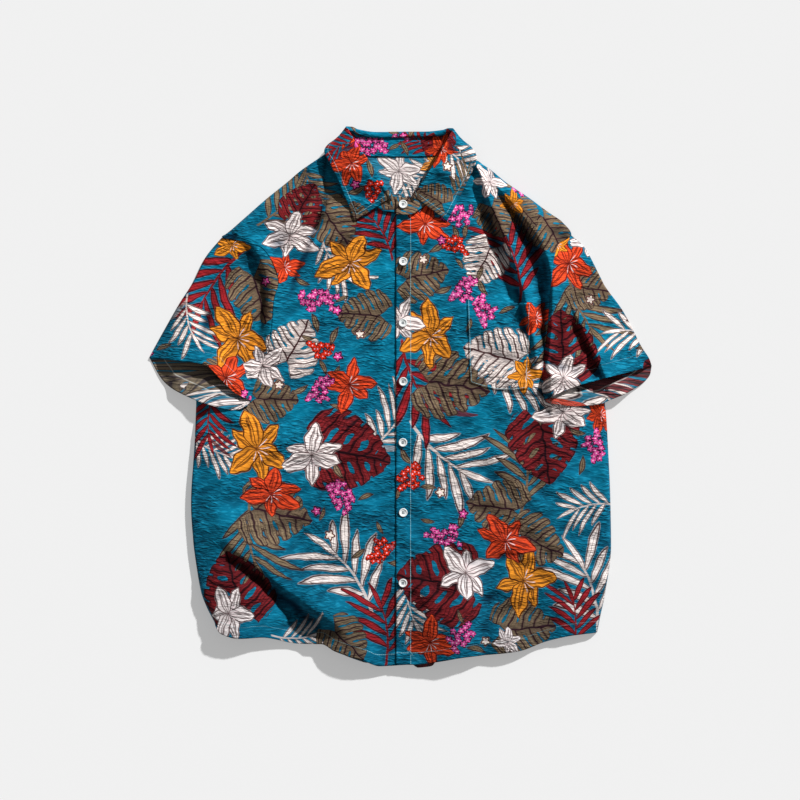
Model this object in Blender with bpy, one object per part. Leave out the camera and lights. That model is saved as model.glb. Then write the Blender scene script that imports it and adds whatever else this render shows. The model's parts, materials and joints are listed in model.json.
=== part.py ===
"""A short-sleeved shirt with a pointed collar, buttoned up and laid flat on its back.

Units are metres. +Z points up out of the shirt's front, +Y to its collar, and the origin
is on the ground under the middle of its outline. Left and right are the wearer's, so the
right front and the right sleeve are at -X, and the left front laps over the right one.
"""

import math
from collections import namedtuple

import bpy
from mathutils import Vector

# Cloth
CLOTH = 0.0015  # thickness of every wall
GAP = 0.0003  # air between two pieces that touch
SEAM = 0.0008  # air between two edges that are sewn together
PLY = CLOTH + GAP  # from the middle of one layer to the middle of the one on it
SPARE = 0.0006  # more air where one curved layer lies on another

# Body
WIDEST_X = 0.284  # centre to side seam where the body is widest
HEM_Y = -0.364  # lowest point of the hem
SHOULDER = (0.108, 0.331)  # a point on the left shoulder's edge, beside the collar
SHOULDER_RUN = (0.63, 0.776)  # and the direction across that edge, outwards
LIE = CLOTH + PLY / 2 + GAP  # middle of a front where it lies on the back
LOFT = 0.0024  # how far the fronts lie above that in the open
EASE = 0.035  # distance from an edge over which the cloth reaches its loft
HEM_BEND = -0.200  # rows below this bend to follow the hem
SIDE_INSET = 0.0010  # the back's edge lies this far inside the fronts'
CORNER_Y = -0.262  # height at which the back's lower corners leave the side seams
CORNER_ROW = 2  # and the row of the side line that gives how wide they are there

# Closure
EDGE_X = -0.006  # edge of the left front, which lies on top
UNDERLAP_X = 0.014  # edge of the right front, under it
NECK_Y = 0.247  # where both fronts meet the collar stand
LAP_RISE = PLY + 0.0004  # the left front lies this much higher where it laps over
LAP_TO_X = 0.055  # and is back at its own height here
LAP_RAMP = 0.035  # after rising over this distance
BUTTON_X = 0.0035
BUTTON_YS = (0.184, 0.101, 0.022, -0.061, -0.156, -0.251)
TOP_BUTTON_Y = 0.261
BUTTON_ACROSS = 0.0115
BUTTON_THICK = 0.0026
BUTTON_RIM = 0.0016
BUTTON_DISH = 0.0007
BUTTON_HOLE = 0.0017
BUTTON_PITCH = 0.0028
BUTTON_SIDES = 20
BUTTON_BEVEL = 0.0006  # slant of the dish's wall, and of the outer edges

# Sleeves
SLEEVE_PUFF = 0.0022  # extra air in the middle of a sleeve
FOLD_TALL = 0.0030  # between the two layers' middles at a sleeve's folded edge
SLEEVE_ALONG = 8
LEDGE_CLEAR = 0.020  # a sleeve is at its full height above the body this far outside it
LEDGE_RAMP = 0.022  # and comes down to the ground over this distance

# Each guide is a line down a front: rows of (y, x), from the hem up.
RIGHT_EDGE = (
    (HEM_Y, UNDERLAP_X), (0.2465, UNDERLAP_X), (0.250, -0.014), (0.263, -0.038),
    (0.280, -0.057), (0.301, -0.071), (0.314, -0.077), (0.327, -0.080),
)
RIGHT_FOLD = (
    (HEM_Y, -0.140), (0.100, -0.145), (0.135, -0.150), (0.160, -0.145), (0.201, -0.137),
    (0.235, -0.126), (0.269, -0.112), (0.300, -0.106), (0.327, -0.095),
)
RIGHT_SIDE = (
    (HEM_Y, -0.252), (-0.330, -0.263), (-0.300, -0.270), (-0.250, -0.276), (-0.194, -0.281),
    (-0.146, -0.284), (-0.058, -0.279), (-0.001, -0.277), (0.010, -0.214), (0.014, -0.200),
    (0.048, -0.187), (0.092, -0.175), (0.133, -0.171), (0.156, -0.165), (0.180, -0.172),
    (0.203, -0.188), (0.211, -0.211), (0.218, -0.243), (0.222, -0.237), (0.240, -0.216),
    (0.269, -0.183), (0.294, -0.152), (0.307, -0.137), (0.327, -0.108),
)
RIGHT_HEM = (
    (-0.252, -0.305), (-0.243, -0.319), (-0.218, -0.326), (-0.188, -0.325), (-0.137, -0.334),
    (-0.107, -0.334), (-0.089, -0.343), (-0.069, -0.350), (-0.048, -0.357), (-0.028, -0.364),
    (UNDERLAP_X, -0.362),
)
LEFT_EDGE = (
    (HEM_Y, EDGE_X), (NECK_Y, EDGE_X), (0.251, 0.018), (0.263, 0.038),
    (0.280, 0.057), (0.301, 0.071), (0.314, 0.077), (0.321, 0.079),
)
LEFT_FOLD = (
    (HEM_Y, 0.180), (-0.006, 0.184), (0.037, 0.182), (0.105, 0.175), (0.153, 0.163),
    (0.207, 0.152), (0.248, 0.135), (0.309, 0.104), (0.321, 0.092),
)
LEFT_SIDE = (
    (HEM_Y, 0.267), (-0.330, 0.272), (-0.290, 0.278), (-0.201, 0.286), (-0.139, 0.285),
    (-0.071, 0.282), (-0.006, 0.277), (0.005, 0.211), (0.014, 0.192), (0.051, 0.194),
    (0.092, 0.199), (0.133, 0.202), (0.167, 0.205), (0.190, 0.208), (0.208, 0.214),
    (0.221, 0.232), (0.239, 0.219), (0.250, 0.203), (0.270, 0.176), (0.293, 0.142),
    (0.308, 0.124), (0.321, 0.105),
)
LEFT_HEM = (
    (EDGE_X, -0.362), (0.013, -0.362), (0.048, -0.358), (0.081, -0.352), (0.135, -0.347),
    (0.163, -0.343), (0.197, -0.331), (0.231, -0.323), (0.267, -0.319),
)
MORE_ROWS = (-0.345, -0.315, -0.285, -0.268, -0.251, -0.235, -0.215, -0.170, -0.110, -0.030, 0.115)

# The back lies under the fronts. Its own edges are the neck and the two armholes.
BACK_NECK = (
    (-0.080, 0.327), (-0.066, 0.3265), (-0.040, 0.3255), (0.0, 0.325), (0.040, 0.3255),
    (0.066, 0.3265), (0.079, 0.321),
)
RIGHT_BACK_ARMHOLE = (
    (0.014, -0.200), (0.055, -0.199), (0.100, -0.200), (0.150, -0.204), (0.190, -0.215),
    (0.218, -0.243),
)
LEFT_BACK_ARMHOLE = (
    (0.014, 0.192), (0.055, 0.196), (0.100, 0.202), (0.150, 0.207), (0.190, 0.214),
    (0.221, 0.232),
)

# Folds and troughs: a line of (x, y, share of the height), the height, and how far the
# slope reaches on the left and on the right of that line, seen from its first point.
Fold = namedtuple("Fold", "line height reach_left reach_right")
FRONT_FOLDS = (
    # Ridge from the left shoulder down to the underarm, and the trough beside it.
    Fold(((0.100, 0.318, 0.2), (0.108, 0.309, 0.5), (0.135, 0.248, 0.9), (0.152, 0.207, 1.0),
          (0.163, 0.153, 1.0), (0.175, 0.105, 0.9), (0.182, 0.037, 0.5), (0.184, 0.005, 0.0)),
         0.0125, 0.013, 0.010),
    # Softer ridge beside the armhole, above the same sleeve.
    Fold(((0.150, 0.285, 0.0), (0.185, 0.245, 0.8), (0.202, 0.205, 1.0), (0.203, 0.165, 0.6),
          (0.202, 0.120, 0.2), (0.200, 0.080, 0.0)),
         0.0060, 0.015, 0.014),
    # The cloth at the right shoulder laps over the chest.
    Fold(((-0.104, 0.331, 0.4), (-0.108, 0.300, 0.9), (-0.109, 0.269, 1.0), (-0.124, 0.235, 1.0),
          (-0.137, 0.201, 0.9), (-0.150, 0.160, 0.6), (-0.158, 0.130, 0.0)),
         0.0070, 0.006, 0.030),
    # Ridge across the lower right corner, with its lower lobe.
    Fold(((-0.240, -0.180, 0.0), (-0.211, -0.201, 0.8), (-0.137, -0.262, 1.0),
          (-0.096, -0.292, 0.8), (-0.070, -0.312, 0.0)),
         0.0100, 0.022, 0.011),
    Fold(((-0.225, -0.255, 0.0), (-0.190, -0.262, 0.8), (-0.150, -0.292, 1.0),
          (-0.120, -0.315, 0.2)),
         0.0050, 0.018, 0.018),
    # Both fronts stand off the back at the hem, in waves.
    Fold(((-0.280, -0.300, 0.0), (-0.252, -0.300, 0.3), (-0.184, -0.300, 0.2),
          (-0.149, -0.300, 0.1), (-0.115, -0.300, 0.4), (-0.078, -0.300, 0.8),
          (-0.050, -0.300, 0.8), (-0.018, -0.300, 0.25), (0.028, -0.300, 0.25),
          (0.052, -0.300, 0.9), (0.074, -0.300, 1.0), (0.098, -0.300, 0.7),
          (0.120, -0.300, 0.25), (0.175, -0.300, 0.1), (0.240, -0.300, 0.1), (0.280, -0.300, 0.0)),
         0.0200, 0.070, 0.100),
    # Roll inside the right side seam.
    Fold(((-0.232, -0.330, 0.4), (-0.240, -0.230, 1.0), (-0.240, -0.180, 1.0),
          (-0.240, -0.130, 0.8), (-0.240, -0.070, 0.5), (-0.240, 0.000, 0.0)),
         0.0120, 0.020, 0.050),
)
RIGHT_SLEEVE_FOLDS = (
    Fold(((-0.215, 0.200, 0.0), (-0.212, 0.170, 0.8), (-0.218, 0.130, 1.0), (-0.228, 0.070, 0.4),
          (-0.235, 0.040, 0.0)),
         0.0050, 0.016, 0.016),
    Fold(((-0.262, 0.165, 0.0), (-0.275, 0.120, 1.0), (-0.290, 0.085, 0.6), (-0.300, 0.060, 0.2)),
         0.0030, 0.018, 0.018),
)
LEFT_SLEEVE_FOLDS = (
    # The outer half of the sleeve laps over its inner half.
    Fold(((0.225, 0.150, 0.0), (0.231, 0.130, 0.7), (0.244, 0.101, 1.0), (0.258, 0.074, 1.0),
          (0.269, 0.051, 1.0), (0.279, 0.024, 1.0)),
         0.0085, 0.030, 0.006),
    Fold(((0.224, 0.195, 0.0), (0.222, 0.150, 1.0), (0.226, 0.100, 0.7), (0.232, 0.050, 0.3)),
         0.0035, 0.014, 0.014),
)

# Sleeves: the visible armhole seam, the hem of the upper layer, the hem of the lower
# layer and the folded outer edge, as (x, y). The armhole and both hems run inwards.
Sleeve = namedtuple("Sleeve", "armhole under_armhole hem under_hem outer ledge folds")
RIGHT_SLEEVE = Sleeve(
    armhole=((-0.243, 0.218), (-0.211, 0.211), (-0.188, 0.203), (-0.172, 0.180), (-0.165, 0.156),
             (-0.171, 0.133), (-0.175, 0.092), (-0.187, 0.048), (-0.200, 0.014)),
    under_armhole=tuple((x, y) for y, x in reversed(RIGHT_BACK_ARMHOLE)),
    hem=((-0.341, 0.054), (-0.307, 0.050), (-0.279, 0.047), (-0.259, 0.041), (-0.243, 0.024),
         (-0.224, 0.006), (-0.203, -0.004)),
    under_hem=((-0.341, 0.053), (-0.320, 0.020), (-0.284, -0.001), (-0.245, -0.014),
               (-0.221, -0.017), (-0.203, -0.008)),
    outer=((-0.243, 0.218), (-0.265, 0.190), (-0.282, 0.156), (-0.298, 0.131), (-0.313, 0.105),
           (-0.332, 0.071), (-0.341, 0.054)),
    ledge=((-0.277, -0.001), (-0.214, 0.010), (-0.200, 0.014)),
    folds=RIGHT_SLEEVE_FOLDS,
)
LEFT_SLEEVE = Sleeve(
    armhole=((0.232, 0.221), (0.214, 0.208), (0.208, 0.190), (0.205, 0.167), (0.202, 0.133),
             (0.199, 0.092), (0.194, 0.051), (0.192, 0.014)),
    under_armhole=tuple((x, y) for y, x in reversed(LEFT_BACK_ARMHOLE)),
    hem=((0.341, 0.043), (0.312, 0.035), (0.279, 0.027), (0.265, 0.023), (0.237, 0.015),
         (0.210, 0.004), (0.195, -0.003)),
    under_hem=((0.341, 0.040), (0.338, 0.029), (0.326, 0.017), (0.305, 0.005), (0.285, -0.003),
               (0.269, -0.009), (0.237, -0.012), (0.210, -0.009), (0.195, -0.006)),
    outer=((0.232, 0.221), (0.251, 0.202), (0.271, 0.164), (0.279, 0.149), (0.299, 0.122),
           (0.312, 0.099), (0.326, 0.071), (0.337, 0.054), (0.341, 0.043)),
    ledge=((0.277, -0.006), (0.211, 0.005), (0.192, 0.014)),
    folds=LEFT_SLEEVE_FOLDS,
)

# Collar sections, from the right point round the neck to the left point. seam is where
# the stand joins the body, roll is the folded top, turn is where the leaf bends, as a
# share of the way out and a height, and edge is the leaf's outer edge. Where edge_z or
# seam_z is None the height is the front's own, with one layer on it.
Section = namedtuple(
    "Section", "seam_x seam_y seam_z roll_x roll_y roll_z turn turn_z edge_x edge_y edge_z"
)
COLLAR = (
    Section(-0.016, 0.2485, None, -0.011, 0.271, 0.0150, 0.30, 0.0140, -0.063, 0.239, None),
    Section(-0.038, 0.262, None, -0.024, 0.289, 0.0190, 0.30, 0.0180, -0.068, 0.254, None),
    Section(-0.057, 0.280, None, -0.035, 0.305, 0.0220, 0.30, 0.0210, -0.076, 0.273, None),
    Section(-0.071, 0.300, None, -0.047, 0.323, 0.0250, 0.30, 0.0240, -0.086, 0.297, None),
    Section(-0.077, 0.313, None, -0.059, 0.339, 0.0260, 0.30, 0.0250, -0.095, 0.316, None),
    Section(-0.080, 0.325, None, -0.067, 0.353, 0.0250, 0.35, 0.0230, -0.103, 0.333, 0.0110),
    Section(-0.066, 0.329, 0.0030, -0.073, 0.365, 0.0210, 0.40, 0.0160, -0.089, 0.348, 0.0060),
    Section(-0.060, 0.329, 0.0030, -0.066, 0.365, 0.0190, -0.05, 0.0100, -0.077, 0.344, 0.0040),
    Section(-0.054, 0.3285, 0.0030, -0.058, 0.362, 0.0170, -0.10, 0.0050, -0.062, 0.336, 0.0012),
    Section(-0.030, 0.3275, 0.0030, -0.032, 0.3585, 0.0150, -0.08, 0.0030, -0.032, 0.331, 0.00075),
    Section(0.0, 0.327, 0.0030, 0.0, 0.359, 0.0145, -0.08, 0.0030, 0.0, 0.3305, 0.00075),
    Section(0.030, 0.3275, 0.0030, 0.032, 0.359, 0.0150, -0.08, 0.0030, 0.032, 0.331, 0.00075),
    Section(0.054, 0.3285, 0.0030, 0.057, 0.361, 0.0170, -0.10, 0.0050, 0.062, 0.336, 0.0012),
    Section(0.060, 0.3285, 0.0030, 0.065, 0.363, 0.0190, -0.05, 0.0100, 0.076, 0.342, 0.0040),
    Section(0.065, 0.3275, 0.0030, 0.071, 0.362, 0.0210, 0.40, 0.0160, 0.087, 0.345, 0.0060),
    Section(0.079, 0.320, None, 0.065, 0.349, 0.0250, 0.35, 0.0230, 0.103, 0.325, 0.0110),
    Section(0.077, 0.312, None, 0.058, 0.336, 0.0260, 0.30, 0.0250, 0.098, 0.309, None),
    Section(0.071, 0.300, None, 0.049, 0.320, 0.0260, 0.30, 0.0250, 0.090, 0.292, None),
    Section(0.057, 0.280, None, 0.039, 0.304, 0.0230, 0.30, 0.0220, 0.080, 0.272, None),
    Section(0.038, 0.263, None, 0.028, 0.288, 0.0200, 0.30, 0.0190, 0.072, 0.255, None),
    Section(0.022, 0.253, None, 0.017, 0.273, 0.0170, 0.30, 0.0160, 0.063, 0.239, None),
)
LEAF_ACROSS = 6
STAND_ACROSS = 3
STAND_FOOT = 0.0017  # the stand's lower edge stands this far clear of the cloth
STAND_TUCK = 0.0048  # the stand's upper edge ends this far below the leaf's fold
LEAF_CLEAR = 0.0012  # the leaf's fold stands this far outside the roll line
LEAF_LIP = 0.0012  # and its inner edge hangs this far down
STAND_UNDER_X = 0.012  # the right front end of the stand, under the other
STAND_LIFT_X = 0.015  # from here the left end lies one layer higher
STAND_END_IN = 0.001  # both ends are this much narrower at each edge

# Pocket corners on the left front, as (x, y)
POCKET_TOP_IN, POCKET_TOP_OUT = (0.090, 0.134), (0.176, 0.127)
POCKET_LOW_IN, POCKET_LOW_OUT = (0.094, 0.020), (0.172, 0.012)
POCKET_POINT = 0.006  # how far the lower edge dips between its corners
POCKET_ACROSS = 8
POCKET_STEPS = 7
POCKET_NEAR = (-0.005, -0.0025, 0.0, 0.0025, 0.005)  # it clears the front this far to both sides

TEAL = (0.010, 0.170, 0.260)
SHELL_WHITE = (0.800, 0.790, 0.740)


def along(table, place):
    """The value in rows of (place, value) at this place, in straight steps between rows."""
    rows = sorted(table)
    if place <= rows[0][0]:
        return rows[0][1]
    for (low, first), (high, second) in zip(rows, rows[1:]):
        if place <= high:
            return first + (second - first) * (place - low) / (high - low)
    return rows[-1][1]


def walk(points, count):
    """count + 1 points spaced evenly along a line of points."""
    lengths = [math.dist(a, b) for a, b in zip(points, points[1:])]
    places = [0.0]
    for length in lengths:
        places.append(places[-1] + length)
    axes = [list(zip(places, values)) for values in zip(*points)]
    return [
        tuple(along(axis, places[-1] * step / count) for axis in axes)
        for step in range(count + 1)
    ]


def smooth(share):
    share = min(1.0, max(0.0, share))
    return share * share * (3.0 - 2.0 * share)


def fold_height(fold, x, y):
    """How far one fold lifts the cloth here: the nearest point of its line decides."""
    nearest = None
    for (ax, ay, first), (bx, by, second) in zip(fold.line, fold.line[1:]):
        run_x, run_y = bx - ax, by - ay
        share = ((x - ax) * run_x + (y - ay) * run_y) / (run_x**2 + run_y**2)
        share = min(1.0, max(0.0, share))
        off_x, off_y = x - ax - share * run_x, y - ay - share * run_y
        away = math.hypot(off_x, off_y)
        if nearest is None or away < nearest[0]:
            nearest = (away, run_x * off_y - run_y * off_x > 0.0, first + (second - first) * share)
    away, on_left, strength = nearest
    reach = fold.reach_left if on_left else fold.reach_right
    return fold.height * strength * math.exp(-((away / reach) ** 2))


def front_height(x, y):
    """The middle of a front's cloth above the ground."""
    from_side = max(0.0, WIDEST_X - abs(x))
    from_hem = max(0.0, y - HEM_Y)
    inside_x, inside_y = SHOULDER[0] - abs(x), SHOULDER[1] - y
    from_shoulder = max(0.0, SHOULDER_RUN[0] * inside_x + SHOULDER_RUN[1] * inside_y)
    loft = LOFT
    for distance in (from_side, from_hem, from_shoulder):
        loft *= 1.0 - math.exp(-distance / EASE)
    return LIE + loft + sum(fold_height(fold, x, y) for fold in FRONT_FOLDS)


def left_front_height(x, y):
    """The left front lies one layer higher where it laps over the right one."""
    return front_height(x, y) + LAP_RISE * smooth((LAP_TO_X - x) / LAP_RAMP)


def on_front(x, y, layers=1.0):
    height = left_front_height if x > EDGE_X else front_height
    return height(x, y) + layers * PLY


def make(name, points, faces, colour, roughness, thickness=CLOTH):
    mesh = bpy.data.meshes.new(name)
    mesh.from_pydata(points, [], faces)
    mesh.update()
    piece = bpy.data.objects.new(name, mesh)
    bpy.context.collection.objects.link(piece)
    if thickness:
        wall = piece.modifiers.new("wall", "SOLIDIFY")
        wall.thickness = thickness
        wall.offset = 0.0
        wall.use_quality_normals = True
    finish = bpy.data.materials.new(name)
    finish.use_nodes = True
    shader = finish.node_tree.nodes["Principled BSDF"]
    shader.inputs["Base Color"].default_value = (*colour, 1.0)
    shader.inputs["Roughness"].default_value = roughness
    mesh.materials.append(finish)
    return piece


def sheet(name, rows, closed=False, colour=TEAL):
    """A wall of cloth through rows of points. Closed rows make a tube."""
    count = len(rows[0])
    points = [point for row in rows for point in row]
    faces = []
    for row in range(len(rows) - 1):
        for column in range(count if closed else count - 1):
            following = (column + 1) % count
            near, far = row * count, (row + 1) * count
            faces.append((near + column, near + following, far + following, far + column))
    return make(name, points, faces, colour, 0.85)


def graded(start, end, steps, crowd):
    """Places from start up to but not at end, crowded towards end above 1, start below."""
    return [start + (end - start) * (1.0 - (1.0 - k / steps) ** crowd) for k in range(steps)]


def front(name, edge, fold, side, hem, height):
    """A front panel: rows across it, bent at the bottom to the line of the hem."""
    stations = sorted({row[0] for row in edge + side} | set(MORE_ROWS))
    stations = [y for y in stations if y <= max(row[0] for row in side)]
    by_x = [(x, y - HEM_Y) for x, y in hem]
    rows = []
    for y in stations:
        inner, crest, outer = (along(guide, y) for guide in (edge, fold, side))
        xs = graded(inner, crest, 11, 1.35) + graded(crest, outer, 8, 0.8) + [outer]
        bend = max(0.0, (HEM_BEND - y) / (HEM_BEND - HEM_Y))
        places = [(x, y + bend * along(by_x, x)) for x in xs]
        rows.append([(x, down, height(x, down)) for x, down in places])
    if side[0][1] < 0.0:
        rows.reverse()
    return sheet(name, rows)


def back():
    """The back, flat on the ground, a little inside the fronts' outline."""
    outline = []
    for side, hem, armhole in (
        (LEFT_SIDE, LEFT_HEM, LEFT_BACK_ARMHOLE),
        (RIGHT_SIDE, RIGHT_HEM, RIGHT_BACK_ARMHOLE),
    ):
        sign = math.copysign(1.0, side[0][1])
        half = [(x, y + 2 * SIDE_INSET) for x, y in sorted(hem, key=lambda point: abs(point[0]))]
        half = [point for point in half if point[0] * sign > 0.02]
        below = [row for row in side if HEM_BEND <= row[0] < armhole[0][0]]
        above = [row for row in side if row[0] > armhole[-1][0]]
        half += [(x - sign * SIDE_INSET, y) for y, x in [(CORNER_Y, side[CORNER_ROW][1])] + below]
        half += [(x, y) for y, x in armhole]
        half += [(x - sign * SIDE_INSET, y - SIDE_INSET) for y, x in above]
        outline += half if sign > 0 else list(reversed(half))
        if sign > 0:
            outline += list(reversed(BACK_NECK))
    count = len(outline)
    points = [(x, y, 0.0) for x, y in outline] + [(x, y, CLOTH) for x, y in outline]
    faces = [tuple(reversed(range(count))), tuple(range(count, 2 * count))]
    faces += [(k, (k + 1) % count, count + (k + 1) % count, count + k) for k in range(count)]
    return make("back", points, faces, TEAL, 0.85, thickness=None)


def halved(points):
    """The same line with a point added in the middle of each step."""
    middles = [tuple((u + v) / 2 for u, v in zip(a, b)) for a, b in zip(points, points[1:])]
    return [point for pair in zip(points, middles) for point in pair] + [points[-1]]


def patch(start, end, first_edge, last_edge, ways):
    """A net of (x, y) filled in between four border lines, through the points of start."""
    across = len(start) - 1
    end = walk(end, across)
    first_edge, last_edge = walk(first_edge, ways), walk(last_edge, ways)
    rows = []
    for i in range(ways + 1):
        t = i / ways
        row = []
        for k in range(across + 1):
            s = k / across
            row.append(tuple(
                (1 - t) * start[k][axis] + t * end[k][axis]
                + (1 - s) * first_edge[i][axis] + s * last_edge[i][axis]
                - (1 - s) * ((1 - t) * start[0][axis] + t * end[0][axis])
                - s * ((1 - t) * start[-1][axis] + t * end[-1][axis])
                for axis in (0, 1)
            ))
        rows.append(row)
    return rows


def sleeve(name, cut):
    """A flattened tube from armhole to hem, its inner part lying on the body's side."""
    sign = math.copysign(1.0, cut.outer[0][0])
    ledge_line = [(abs(x), y) for x, y in cut.ledge]
    corner_x = ledge_line[0][0]

    def clear(line):
        return halved([(x + sign * SEAM, y - SEAM) for x, y in line])

    def lying(x, y):
        """The middle of the lower layer: on the ground, or on the body below the ledge."""
        outside = max(y - along(ledge_line, abs(x)), abs(x) - corner_x, 0.0)
        lifted = front_height(x, y) + PLY + SPARE - CLOTH / 2
        return CLOTH / 2 + lifted * smooth(1.0 - (outside - LEDGE_CLEAR) / LEDGE_RAMP)

    armhole, under_armhole = clear(cut.armhole), clear(cut.under_armhole)
    outer = [armhole[0], *cut.outer[1:]]
    upper = patch(armhole, cut.hem, outer, (armhole[-1], cut.hem[-1]), SLEEVE_ALONG)
    lower = patch(under_armhole, cut.under_hem, outer[:-1] + [cut.under_hem[0]],
                  (under_armhole[-1], cut.under_hem[-1]), SLEEVE_ALONG)
    rings = []
    for i in range(SLEEVE_ALONG + 1):
        ring = []
        leave = smooth(i / SLEEVE_ALONG / 0.45)
        for k, (x, y) in enumerate(upper[i]):
            puff = math.sin(math.pi * k / (len(armhole) - 1))
            own = lying(x, y) + FOLD_TALL + SLEEVE_PUFF * puff
            own += min(1.0, 2.0 * puff) * sum(fold_height(fold, x, y) for fold in cut.folds)
            seam = max(front_height(x, y), lying(x, y) + FOLD_TALL)
            ring.append((x, y, seam + (own - seam) * leave))
        ring += [(x, y, lying(x, y)) for x, y in reversed(lower[i])]
        rings.append(ring)
    if sign > 0:
        rings.reverse()
    return sheet(name, rings, closed=True)


def collar_points(section):
    """Seam, roll, turn and edge of one collar section, with the heights filled in."""
    seam_z, edge_z = section.seam_z, section.edge_z
    if seam_z is None:
        seam_z = on_front(section.seam_x, section.seam_y, 0.5) + STAND_FOOT
    if edge_z is None:
        edge_z = on_front(section.edge_x, section.edge_y) + SPARE
    seam = Vector((section.seam_x, section.seam_y, seam_z))
    roll = Vector((section.roll_x, section.roll_y, section.roll_z))
    edge = Vector((section.edge_x, section.edge_y, edge_z))
    turn = roll.lerp(edge, section.turn)
    turn.z = section.turn_z
    return seam, roll, turn, edge


def collar_leaf():
    """The leaf, folded at the roll: down behind the neck, out over both fronts."""
    rows = []
    for section in COLLAR:
        seam, roll, turn, edge = collar_points(section)
        roll += (roll - seam).normalized() * LEAF_CLEAR
        row = [tuple(roll - Vector((0.0, 0.0, LEAF_LIP)))]
        for k in range(LEAF_ACROSS + 1):
            t = k / LEAF_ACROSS
            point = (1 - t) ** 2 * roll + 2 * t * (1 - t) * turn + t * t * edge
            if section.edge_z is None:
                point.z = max(point.z, on_front(point.x, point.y) + SPARE)
            row.append(tuple(point))
        rows.append(row)
    rows.reverse()
    return sheet("collar_leaf", rows)


def stand_end(layers):
    """(y, z) of the lower and upper edge of the stand's closed front end."""
    low_y = NECK_Y + STAND_END_IN
    low = Vector((low_y, on_front(0.0, low_y, 0.5) + STAND_FOOT))
    high = Vector((COLLAR[0].roll_y - STAND_END_IN, COLLAR[0].roll_z - STAND_TUCK))
    lift = Vector((0.0, layers * (PLY + GAP)))
    return low + lift, high + lift


def collar_stand():
    """The stand, from the neck seam up to just under the leaf's fold, closed in front."""
    rows = []
    for section in COLLAR:
        seam, roll, _, _ = collar_points(section)
        top = roll + (seam - roll).normalized() * STAND_TUCK
        top.z = roll.z - STAND_TUCK
        rows.append([tuple(seam.lerp(top, k / STAND_ACROSS)) for k in range(STAND_ACROSS + 1)])
    shares = [k / STAND_ACROSS for k in range(STAND_ACROSS + 1)]
    low, high = stand_end(layers=0)
    rows.insert(0, [(STAND_UNDER_X, *low.lerp(high, share)) for share in shares])
    low, high = stand_end(layers=1)
    for x in (STAND_LIFT_X, EDGE_X):
        rows.append([(x, *low.lerp(high, share)) for share in shares])
    rows.reverse()
    return sheet("collar_stand", rows)


def pocket():
    """The patch pocket, one layer out from the left front."""
    inner, outer = (POCKET_LOW_IN, POCKET_TOP_IN), (POCKET_LOW_OUT, POCKET_TOP_OUT)
    low = []
    for k in range(POCKET_ACROSS + 1):
        share = k / POCKET_ACROSS
        x, y = Vector(POCKET_LOW_IN).lerp(Vector(POCKET_LOW_OUT), share)
        low.append((x, y - POCKET_POINT * math.sin(math.pi * share)))
    net = patch(low, (POCKET_TOP_IN, POCKET_TOP_OUT), inner, outer, POCKET_STEPS)

    def outside(x, y):
        return max(on_front(x + aside, y) for aside in POCKET_NEAR) + SPARE

    return sheet("pocket", [[(x, y, outside(x, y)) for x, y in row] for row in net])


def button_mesh():
    """A turned disc with a rim and a dished face, pierced by four thread holes."""
    radius, inside = BUTTON_ACROSS / 2, BUTTON_ACROSS / 2 - BUTTON_RIM
    dish_z = BUTTON_THICK - BUTTON_DISH
    rings = (
        (radius - BUTTON_BEVEL, 0.0), (radius, BUTTON_THICK / 2),
        (radius - BUTTON_BEVEL, BUTTON_THICK), (inside, BUTTON_THICK),
        (inside - BUTTON_BEVEL, dish_z),
    )
    turns = [math.tau * k / BUTTON_SIDES for k in range(BUTTON_SIDES)]
    points = [(0.0, 0.0, 0.0), (0.0, 0.0, dish_z)]
    for r, z in rings:
        points += [(r * math.cos(turn), r * math.sin(turn), z) for turn in turns]
    starts = [2 + ring * BUTTON_SIDES for ring in range(len(rings))]
    faces = []
    for k in range(BUTTON_SIDES):
        following = (k + 1) % BUTTON_SIDES
        faces.append((0, starts[0] + following, starts[0] + k))
        for near, far in zip(starts, starts[1:]):
            faces.append((near + k, near + following, far + following, far + k))
        faces.append((1, starts[-1] + k, starts[-1] + following))
    return points, faces


def button(number, x, y, height):
    """One button, square to the cloth under it."""
    step = BUTTON_ACROSS / 3
    slope_x = (height(x + step, y) - height(x - step, y)) / (2 * step)
    slope_y = (height(x, y + step) - height(x, y - step)) / (2 * step)
    normal = Vector((-slope_x, -slope_y, 1.0)).normalized()
    name = f"button_{number}"
    piece = make(name, *button_mesh(), SHELL_WHITE, 0.35, thickness=None)
    piece.location = Vector((x, y, height(x, y))) + normal * (CLOTH / 2 + 2 * GAP)
    piece.rotation_euler = Vector((0.0, 0.0, 1.0)).rotation_difference(normal).to_euler()
    away = BUTTON_PITCH / math.sqrt(2)
    for k in range(4):
        turn = math.pi * (k + 0.5) / 2
        bpy.ops.mesh.primitive_cylinder_add(
            vertices=8, radius=BUTTON_HOLE / 2, depth=4 * BUTTON_THICK,
            location=(away * math.cos(turn), away * math.sin(turn), 0.0),
        )
        cutter = bpy.context.object
        cutter.name = f"{name}_hole_{k}"
        cutter.parent = piece
        cutter.hide_render = True
        cutter.display_type = "WIRE"
        hole = piece.modifiers.new(f"hole_{k}", "BOOLEAN")
        hole.operation = "DIFFERENCE"
        hole.object = cutter
    return piece


def stand_height(x, y):
    """The middle of the stand's upper front end, which leans up towards its top."""
    low, high = stand_end(layers=1)
    return low.lerp(high, (y - low.x) / (high.x - low.x)).y


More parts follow.
